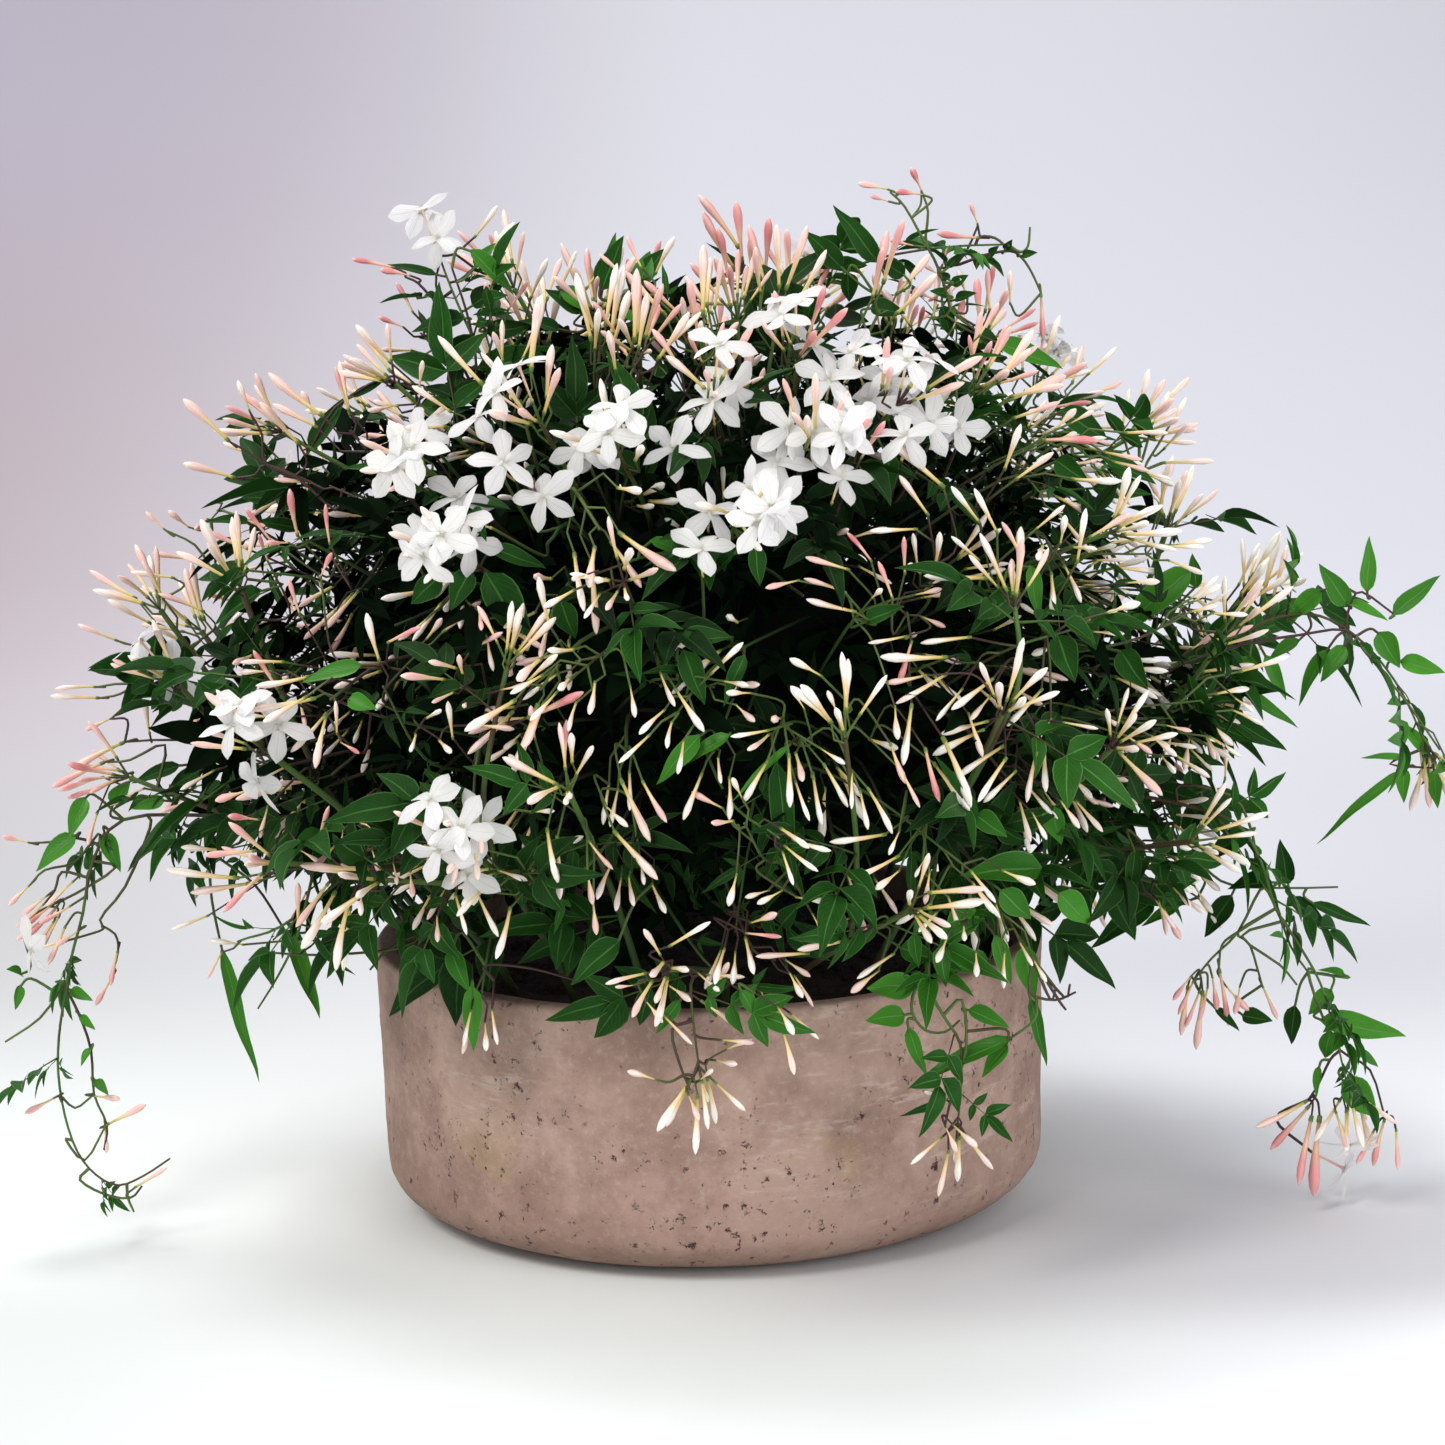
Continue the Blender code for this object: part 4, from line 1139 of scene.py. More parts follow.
def crown_shoots(crown):
    """The crown's trails always stand, and their lower ends lie inside the core."""
    shoots = []
    for number, (around, stops, buds, flowers) in enumerate(TRAILS):
        if around is None:
            path = smooth_path([Vector(stop) / 1000 for stop in stops], 2)
            shoots.append(Shoot("crown", path, (SHOOT_RADIUS, SHOOT_TIP), CROWN_BARE, buds, flowers,
                                ("trail", number)))
    for number, (hub, buds, flowers) in enumerate(crown):
        tries = []
        for attempt in range(TRIES):
            dice = draw("crown", number, attempt)
            start = dome(hub[0], hub[1] + dice.uniform(-4, 4), CORE_REACH - 0.12)
            tries.append(side_points(start, dome(*hub), dice))
        add_shoot(shoots, "crown", tries, CROWN_BARE, buds, flowers, ("crown", number))
    return shoots


crown_plan, vine_plan = plan_hubs()
shoots = vine_shoots(vine_plan) + crown_shoots(crown_plan)
print("stems found in the packed model:", len(shoots))


# %% Walk the rule: leaves, clusters and flowers
LEAF_TIP = (1.0, 0.0, -0.13)


def leaf_on(node, spot, way, key):
    """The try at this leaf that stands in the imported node, as a placing matrix."""
    for attempt in range(TRIES):
        dice = draw("leaf", node, *key, attempt)
        out = outward(spot)
        side = way.cross(out).normalized() * dice.choice((-1, 1))
        aim = side * 0.8 + way * 0.3 + out * 0.5 + jitter(dice, 0.45)
        aim.z -= 0.22
        face = out + Vector((0, 0, 0.7)) + jitter(dice, 0.4)
        placed = placing(spot, axes_for(aim, face), LEAF_LENGTH * dice.uniform(0.85, 1.15))
        if stands(node, placed @ Vector(LEAF_TIP)):
            return placed
    return None


def placing(spot, axes, size):
    """A matrix that puts a one-unit shape at a spot along three axes."""
    turn = Matrix([axis * size for axis in axes]).transposed().to_4x4()
    turn.translation = spot
    return turn


def leaves_of(shoot):
    """The placings of the CAD leaves on a stem."""
    end = path_length(shoot.path) - LEAFLESS_TIP
    count = max(1, round((end - shoot.bare) / LEAF_SPACING))
    for k in range(count):
        distance = shoot.bare + (end - shoot.bare) * (k + 0.5) / count
        spot, way = along(shoot.path, distance)
        placed = leaf_on(shoot.node, spot, way, (*shoot.key, k))
        if placed:
            yield placed


def draw_arms(way, buds, flowers, dice):
    """Directions for the flower stalks, near the stem's line, and the buds."""
    arms = []
    across = way.orthogonal().normalized()
    for k in range(flowers + buds):
        turn = Matrix.Rotation(math.radians(90 * k + 45) + dice.uniform(-0.3, 0.3), 3, way)
        lean = 0.42 if k < flowers and flowers > 1 else 0.75 + 0.25 * (k // 4)
        if flowers == 1 and k == 0:
            lean = 0.3
        aim = (way + turn @ across * lean + jitter(dice, 0.1)).normalized()
        length = STALK_LENGTH if k < flowers else BUD_LENGTH * dice.uniform(0.85, 1.1)
        arms.append((aim, length))
    return arms


def cluster_of(shoot):
    """The hub and the arms of the cluster that stands at a stem's end."""
    end, way = along(shoot.path, path_length(shoot.path))
    end += way * HUB_AHEAD
    for attempt in range(TRIES * 3):
        dice = draw("cluster", shoot.node, *shoot.key, attempt)
        few = max(2, shoot.buds - attempt // TRIES) if shoot.buds else 0
        arms = draw_arms(way, few, shoot.flowers, dice)
        tips = [end + aim * length for aim, length in arms[shoot.flowers:]]
        if tips and all(stands(shoot.node, tip) for tip in tips):
            return end, arms
    return None


def flower_on(foot, aim, key):
    """The bloom node and the placing of the open flower that stands on a stalk."""
    x, y, z = axes_for(aim.orthogonal(), aim)
    for attempt in range(TRIES):
        turn = draw("flower", *key, attempt).uniform(0, 1.2)
        first = x * math.cos(turn) + y * math.sin(turn)
        tip = foot + aim * (TUBE_LENGTH - 0.0004) + first * PETAL_RADIUS
        for node in bloom_nodes:
            if stands(node, tip):
                return node, placing(foot, (first, aim.cross(first), aim), TUBE_LENGTH)
    return None


# %% [markdown]
# ## Pieces in the making
# The plant is dressed in one piece for each vine, four for the crown and one for each bunch of
# flowers. Leaves, buds and flowers are stamped into a piece's bmesh. Stems are drawn as curves
# with a round bevel, because a curve takes a radius at each of its points.

# %% Pieces
SECTORS = 4
BOX_MARGIN = 0.004
# Leaves with a tint under this wear the near-black shade finish, as painted shade.
DEEP_TINT = 0.15


class Piece:
    """A part of the plant that is still being filled."""

    def __init__(self, name, node, slot):
        self.name, self.node, self.slot = name, node, slot
        self.bm = new_master()
        self.curves = {}

    def stamp(self, master, placed, tint):
        mesh = master.copy()
        mesh.transform(placed)
        mesh.attributes["tint"].data.foreach_set("value", [tint] * len(mesh.vertices))
        # painted shade: the darkest leaves wear the near-black shade finish
        if tint < DEEP_TINT and mesh.polygons[-1].material_index in (LEAF, UNDERLEAF):
            mesh.polygons.foreach_set("material_index", [SHADE] * len(mesh.polygons))
        self.bm.from_mesh(mesh)
        bpy.data.meshes.remove(mesh)

    def stem(self, points, radii, slot):
        """A tapering stem; thin ones get a coarser round."""
        if slot not in self.curves:
            curve = bpy.data.curves.new("stems", "CURVE")
            curve.dimensions = "3D"
            curve.bevel_depth = 1.0
            curve.bevel_resolution = 1 if slot == STEM else 0
            curve.use_fill_caps = True
            self.curves[slot] = curve
        stem_points.extend(points)
        spline = self.curves[slot].splines.new("POLY")
        spline.points.add(len(points) - 1)
        for corner, point, radius in zip(spline.points, points, radii):
            corner.co = (*point, 1.0)
            corner.radius = radius

    def finish(self):
        for slot, curve in self.curves.items():
            holder = link(bpy.data.objects.new("stems", curve))
            drawn = holder.evaluated_get(bpy.context.evaluated_depsgraph_get())
            mesh = bpy.data.meshes.new_from_object(drawn)
            mesh.polygons.foreach_set("material_index", [slot] * len(mesh.polygons))
            self.bm.from_mesh(mesh)
            bpy.data.objects.remove(holder)
            bpy.data.meshes.remove(mesh)
        made = to_object(self.bm, self.name, FINISHES)
        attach(made, "root")
        if self.node:
            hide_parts(self.node)


pieces = {}
stem_points = []


def piece_named(name, node, slot="foliage"):
    if name not in pieces:
        pieces[name] = Piece(name, node, slot)
    return pieces[name]


def piece_at(spot):
    """The piece that dresses a part of the dome: a vine's low down, a crown's above."""
    away = spot - CENTRE
    around = math.degrees(math.atan2(away.x, -away.y))
    if reach_of(spot) > 0.5 and away.z < 0.06:
        node = f"vine_{nearest_vine(around) + 1:02d}"
        return piece_named(node + "_dressed", node)
    return piece_named(f"crown_dressed_{int(around // (360 / SECTORS)) % SECTORS}", "crown")


def piece_of(shoot):
    if shoot.node == "crown":
        return piece_at(CENTRE + Vector((shoot.path[-1] - CENTRE)[:2] + (0.1,)))
    return piece_named(shoot.node + "_dressed", shoot.node)


def fits(point):
    """Whether a point is inside the CAD's box and clear of the bowl."""
    low, high = cad_box
    inside = all(low[k] - BOX_MARGIN < point[k] < high[k] + BOX_MARGIN for k in range(3))
    radius = math.hypot(point.x, point.y)
    over_soil = radius < wall_inside(SOIL_TOP) - 0.004 and point.z > SOIL_TOP
    return inside and (over_soil or point.z > POT_HEIGHT + 0.002 or radius > RIM_RADIUS + 0.003)


# %% [markdown]
# ## Sprays of buds
# On the plant a spray is a stem's last few centimetres. Thin stalks leave it in opposite
# pairs, curve forwards, and each carries a bud or three. Stalks that start further back are
# longer, so the buds end up side by side.

# %% Sprays
STALK_RADIUS = 0.00042
PAIR_STEP = 0.0085
SHORT_LENGTH = 0.0135


def upright(spot, aim, turn, size):
    """A placing for a one-unit shape that stands along +Z."""
    x, y, z = axes_for(aim.orthogonal(), aim)
    first = x * math.cos(turn) + y * math.sin(turn)
    return placing(spot, (first, z.cross(first), z), size)


def add_bud(piece, base, tip, tint, dice):
    if fits(tip):
        length = (tip - base).length
        placed = upright(base, tip - base, dice.uniform(0, math.tau), length)
        master = dice.choice(SHORT_BUDS if length < SHORT_LENGTH else BUDS)
        piece.stamp(master, placed, clamp(tint + dice.uniform(-0.2, 0.2)))


def add_spray(piece, path, count, tint, dice, open_up=1.0, size=1.0):
    """More buds off the last part of a stem, on curved stalks in opposite pairs."""
    length = path_length(path)
    step = min(PAIR_STEP, 0.040 / max(1, (count + 1) // 2))
    droop = 0.5 * max(0.0, (0.30 - path[-1].z) / 0.2) * dice.uniform(0.3, 1.6)
    for k in range(count):
        pair, side = divmod(k, 2)
        spot, way = along(path, max(0.0, length - 0.002 - step * pair))
        turn = pair * 1.75 + side * math.pi + dice.uniform(-0.35, 0.35)
        across = Matrix.Rotation(turn, 3, way) @ way.orthogonal().normalized()
        lean = (dice.uniform(0.22, 0.55) + 0.05 * pair) * open_up
        stalk = dice.uniform(0.005, 0.012) + step * pair * dice.uniform(0.5, 1.0)
        bend = spot + (way * 0.6 + across * (lean + 0.3)) * stalk * 0.6
        base = spot + (way + across * lean) * stalk
        aim = way + across * lean * 0.9 + jitter(dice, 0.13)
        aim.z -= droop
        aim.normalize()
        tip = base + aim * BUD_LENGTH * size * dice.uniform(0.72, 1.06)
        if fits(tip):
            radii = [STALK_RADIUS * 1.2, STALK_RADIUS, STALK_RADIUS]
            piece.stem([spot, bend, base + aim * 0.0006], radii, STALK)
            add_bud(piece, base, tip, tint, dice)


# %% [markdown]
# ## Leaves in pairs
# Jasmine leaves sit opposite each other. A stem is given a pair every few centimetres, turned
# a little outwards and held so that the upper side faces the light. Leaves inside, which never
# see the sun, are given painted shade: a darker tint than those near the surface.

# %% Leaf pairs
LOW_LEAVES = 0.16


def leaf_tint(placed, dice, young=0.0):
    """Painted shade and light: dark in the depth of the dome, mid green outside and on leaves low over
    the rim, lighter on the plant's right and darker on its left; lighter on young shoots.
    """
    spot = placed @ (Vector(LEAF_TIP) * 0.7)
    # painted shade: the tint falls towards near-black deep in the dome
    depth = clamp((reach_of(spot) - 0.78) / 0.25)
    darkest = 0.0
    if spot.z < LOW_LEAVES:
        outside = clamp((math.hypot(spot.x, spot.y) - RIM_RADIUS + 0.025) / 0.028)
        depth = max(depth, 0.85 * outside)
        darkest = 0.26 * outside
    # painted light: a lighter tint on the plant's right, a darker one on its left
    side = 0.07 if spot.x > 0.09 else -0.05 if spot.x < -0.09 else 0.0
    return clamp(0.48 * depth ** 2.2 + young + side + dice.uniform(-0.18, 0.18), darkest)


def lushness(spot):
    """The share of leaves kept: the front middle is thin and shows the dark inside."""
    front = clamp(-spot.y / 0.12)
    middle = 1 - min(1.0, abs(spot.x + 0.01) / 0.13)
    return 1 - 0.30 * front - 0.50 * front * middle


def hangs(point):
    """Whether a point hangs in front of the rim, which the plant leaves mostly clear."""
    over = math.hypot(point.x, point.y) > RIM_RADIUS - 0.012
    return over and point.y < -0.07 and point.z < POT_HEIGHT + 0.012


def leaf_pairs(piece, path, start, spacing, sizes, dice, young=0.0, masters=LEAVES, trail=False):
    count = int((path_length(path) - start) / spacing + 0.5)
    for k in range(count):
        spot, way = along(path, start + spacing * (k + dice.uniform(0.25, 0.75)))
        out = outward(spot)
        side = way.cross(out).normalized()
        if k % 2:
            side = (side + out * dice.uniform(0.2, 0.9)).normalized()
        for sign in (-1, 1):
            if dice.random() > lushness(spot):
                continue
            aim = side * sign * 0.85 + way * dice.uniform(0.1, 0.7) + out * dice.uniform(0.0, 0.5)
            aim += jitter(dice, 0.3)
            aim.z -= 0.2
            face = out + Vector((0, 0, 0.7)) + jitter(dice, 0.55)
            placed = placing(spot, axes_for(aim, face), dice.uniform(*sizes))
            tip = placed @ Vector(LEAF_TIP)
            if fits(tip) and fits(placed @ Vector((0.6, 0, 0))) and (trail or not hangs(tip)):
                piece.stamp(dice.choice(masters), placed, leaf_tint(placed, dice, young))


# %% Dress the CAD's stems
PINK_SIDE = 0.48
TRAIL_LEAVES = [
    (0.042, 0.016, 0.028), (0.030, 0.020, 0.030), (0.026, 0.032, 0.048), (0.024, 0.034, 0.050),
    (0.026, 0.018, 0.028), (0.050, 0.014, 0.020), (0.030, 0.026, 0.036), (0.040, 0.024, 0.032),
    (0.028, 0.026, 0.038),
]


def bud_tint(spot, dice):
    """Buds are pinker on the plant's left and top, and creamy in front."""
    left = clamp((-spot.x - 0.06) / 0.12)
    top = clamp((spot.z - 0.29) / 0.06)
    return 0.18 + PINK_SIDE * max(left, 1.35 * top) + dice.uniform(-0.22, 0.28)


flower_feet = []


def dress_stem(shoot, piece, path, dice):
    """The stem, the CAD's leaves as real ones and more leaves in pairs."""
    trail = shoot.key[0] == "trail"
    thick, fine = (0.7, 0.42) if trail else (1.0, 1.0)
    piece.stem(path, taper(path, shoot.radii[0] * thick, shoot.radii[1] * fine), STEM)
    share = 0.62 if trail else 0.84
    for placed in leaves_of(shoot):
        piece.stamp(dice.choice(LEAVES), placed @ Matrix.Scale(share, 4),
                    leaf_tint(placed, dice, 0.12 if trail else 0.0))
    if trail:
        spacing, *sizes = TRAIL_LEAVES[shoot.key[1]]
        leaf_pairs(piece, path, 0.03, spacing, sizes, dice, young=0.15,
                   masters=LEAVES + YOUNG_LEAVES, trail=True)
    else:
        leaf_pairs(piece, path, shoot.bare + 0.01, spacing=0.030, sizes=(0.034, 0.054), dice=dice)


def dress_flower(piece, end, foot, aim, key, dice):
    """A stalk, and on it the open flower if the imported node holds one."""
    stood = flower_on(foot, aim, key)
    piece.stem([end, end.lerp(foot, 0.5), foot], [STALK_RADIUS * 1.3] * 3, STALK)
    if stood:
        node, placed = stood
        bunch = piece_named(node + "_dressed", node, "petals")
        bunch.stamp(dice.choice(FLOWERS), placed, dice.uniform(0.0, 0.8))
        flower_feet.append(placed @ Vector((0, 0, 1)))


def dress_cluster(shoot, piece, path, dice):
    """The buds and open flowers at a stem's end, with a spray of more buds behind them."""
    found = cluster_of(shoot)
    if not found:
        return
    end, arms = found
    # At the tips of the crown's two trails the sprays seen in the photograph are the buds.
    topped = shoot.key[0] == "trail" and shoot.node == "crown"
    tint = bud_tint(end, dice)
    for k, (aim, length) in enumerate(arms[:shoot.flowers] if topped else arms):
        if k < shoot.flowers:
            dress_flower(piece, end, end + aim * (length + GAP), aim, (*shoot.key, k), dice)
        else:
            base = end + aim * length * dice.uniform(0.12, 0.36)
            piece.stem([end, base + aim * 0.0006], [STALK_RADIUS * 1.2, STALK_RADIUS], STALK)
            add_bud(piece, base, end + aim * length, tint, dice)
    if not topped:
        extra = 3 if end.z > 0.3 else 5 if end.y > -0.03 else 2
        add_spray(piece, path, extra, tint, dice, 1.6 if end.z > 0.3 else 1.0, 0.9)


for shoot in shoots:
    dice = draw("dress", *shoot.key)
    piece, path = piece_of(shoot), smooth_path(shoot.path, 3)
    dress_stem(shoot, piece, path, dice)
    dress_cluster(shoot, piece, path, dice)
print("flowers of the CAD dressed:", len(flower_feet))

# %% [markdown]
# ## Filling the dome
# The CAD holds only the main stems. The real plant is dense, so side shoots are added evenly
# over the dome by the golden angle. Each leaves the depth of the plant, carries pairs of
# leaves, and ends in a young leaf or a spray. A near-black mass of leaves, painted shade, fills the
# middle.

# %% Inner mass
INNER_LEAVES = 240
RIM_LEAVES = 70
GOLDEN = 0.618034


def inner_leaf(piece, spot, size, dice):
    """A leaf deep in the plant, turned any way."""
    out = outward(spot)
    aim = out * 0.6 + jitter(dice, 1.0)
    face = out + Vector((0, 0, 0.5)) + jitter(dice, 0.6)
    placed = placing(spot, axes_for(aim, face), size)
    if fits(placed @ Vector(LEAF_TIP)) and not hangs(placed @ Vector(LEAF_TIP)):
        piece.stamp(dice.choice(LEAVES), placed, leaf_tint(placed, dice))


def make_inner():
    """A near-black lump deep in the plant: painted shade, and it keeps light from showing through."""
    piece = piece_named("inner_mass", "crown")
    bm = bmesh.new()
    bmesh.ops.create_icosphere(bm, subdivisions=4, radius=1.0)
    for vert in bm.verts:
        size = 0.44 * (1 + 0.25 * noise.noise(vert.co * 5))
        vert.co = CENTRE + Vector(vert.co * RADII) * size
        vert.co.z = max(vert.co.z, CORE_FLOOR + 0.002)
    bm.loops.layers.uv.new("shape")
    lump = bpy.data.meshes.new("lump")
    bm.to_mesh(lump)
    bm.free()
    # painted shade: the lump has no tint, so it wears the leaf finish at its darkest, near-black
    piece.bm.from_mesh(lump)
    for k in range(INNER_LEAVES):
        dice = draw("inner", k)
        up = math.degrees(math.asin(-0.42 + 1.4 * (k + 0.5) / INNER_LEAVES))
        spot = dome(360 * (k * GOLDEN % 1.0), up, dice.uniform(0.40, 0.58))
        inner_leaf(piece, spot, dice.uniform(0.045, 0.065), dice)
    for k in range(RIM_LEAVES):
        dice = draw("rim", k)
        spot = dome(dice.uniform(-100, 100), dice.uniform(-26, -8), dice.uniform(0.50, 0.76))
        inner_leaf(piece, spot, dice.uniform(0.030, 0.045), dice)


make_inner()

# %% Side shoots and wisps
SIDE_SHOOTS = 170
SIDE_STEM = (0.0011, 0.0006)
WISP_STEM = (0.0007, 0.0004)
LOWEST, HIGHEST = -0.36, 0.99
WISPS = 150


def make_side_shoots():
    for k in range(SIDE_SHOOTS):
        dice = draw("side shoot", k)
        up = math.degrees(math.asin(LOWEST + (HIGHEST - LOWEST) * (k + 0.5) / SIDE_SHOOTS))
        around = 360 * (k * GOLDEN % 1.0) + dice.uniform(-8, 8)
        tip = dome(around, up, dice.uniform(0.68, 0.90))
        start = dome(around + dice.uniform(-20, 20), max(up, -14) * 0.8, 0.36)
        middle = start.lerp(tip, 0.6) + Vector((0, 0, dice.uniform(0.0, 0.022))) + jitter(dice, 0.012)
        path = smooth_path([start, middle, tip], 4)
        piece = piece_at(tip)
        piece.stem(path, taper(path, *SIDE_STEM), STEM)
        leaf_pairs(piece, path, start=0.030, spacing=0.022, sizes=(0.030, 0.050), dice=dice)
        if k % (3 if tip.x < -0.09 else 2) == 1:
            add_spray(piece, path, dice.randint(3, 6), bud_tint(tip, dice), dice, 1.0,
                      dice.uniform(0.6, 0.95))
        else:
            leaf_pairs(piece, path[-3:], start=0.004, spacing=0.012, sizes=(0.020, 0.034),
                       dice=dice, young=0.15, masters=YOUNG_LEAVES)


def make_wisps():
    """Thin green shoots that wander over the plant, with a few small buds at their ends."""
    for k in range(WISPS):
        dice = draw("wisp", k)
        up = math.degrees(math.asin(LOWEST + 0.05 + (0.85 - LOWEST) * (k + 0.5) / WISPS))
        around = 360 * (k * GOLDEN % 1.0) + 40
        start = dome(around, up, 0.62)
        ends = (around + dice.uniform(-26, 26), up + dice.uniform(-20, 16), dice.uniform(0.88, 1.02))
        tip = dome(*ends)
        if not fits(tip):
            continue
        middle = start.lerp(tip, 0.5) + outward(tip) * dice.uniform(0.004, 0.022) + jitter(dice, 0.01)
        path = smooth_path([start, middle, tip], 5)
        piece = piece_at(tip)
        piece.stem(path, taper(path, *WISP_STEM), STEM)
        leaf_pairs(piece, path, start=0.02, spacing=0.034, sizes=(0.018, 0.032), dice=dice,
                   young=0.1, masters=YOUNG_LEAVES)
        count = dice.randint(1, 3) if tip.x < -0.09 or tip.z > 0.3 else dice.randint(3, 5)
        add_spray(piece, path, count, bud_tint(tip, dice), dice, 1.2, dice.uniform(0.5, 0.8))


make_side_shoots()
make_wisps()

# %% [markdown]
# ## What the photograph shows
# Some sprays and flowers are plain to see in the photograph, so they are placed where they
# appear. A pixel is followed to the dome, and a short stem rises there from the leaves.

# %% Sprays and flowers seen
SPRAYS_SEEN = [
    (600, 345, 80, 6, 0.20), (985, 400, 30, 5, 0.55), (600, 530, -60, 6, 0.45),
    (540, 690, 240, 5, 0.45), (330, 700, 230, 5, 0.4), (350, 880, 250, 4, 0.4),
    (700, 330, 110, 6, 0.6), (880, 310, 60, 5, 0.6), (640, 370, 60, 5, 0.4),
    (780, 300, 80, 5, 0.5), (520, 400, 100, 4, 0.3), (350, 430, 130, 4, 0.6),
]
FLOWERS_SEEN = [
    (438, 238, 14), (477, 416, None), (421, 430, None), (400, 462, None), (505, 462, None),
    (456, 497, None), (463, 520, None), (543, 497, None), (421, 541, None), (470, 541, None),
    (596, 441, None), (580, 450, None), (673, 448, None), (732, 388, None), (711, 400, None),
    (813, 345, None), (850, 352, None), (830, 378, None), (888, 382, None), (915, 398, None),
    (868, 402, None), (930, 425, None), (813, 432, None), (838, 425, None), (778, 462, None),
    (790, 428, None), (711, 511, None), (750, 490, None), (778, 507, None), (701, 548, None),
    (841, 476, None), (905, 435, None), (957, 428, None), (441, 808, None), (481, 824, None),
    (468, 874, None), (174, 675, None), (279, 725, None), (257, 782, None), (30, 950, 42),
    (1345, 1185, 45),
]
FLOWER_NEAR = 0.016
SPRAY_STEM = (0.0010, 0.0006)
SEEN_STEM = (0.00065, 0.0004)
LEAF_STALK = 0.0005
FLOWER_CLEAR = 0.013

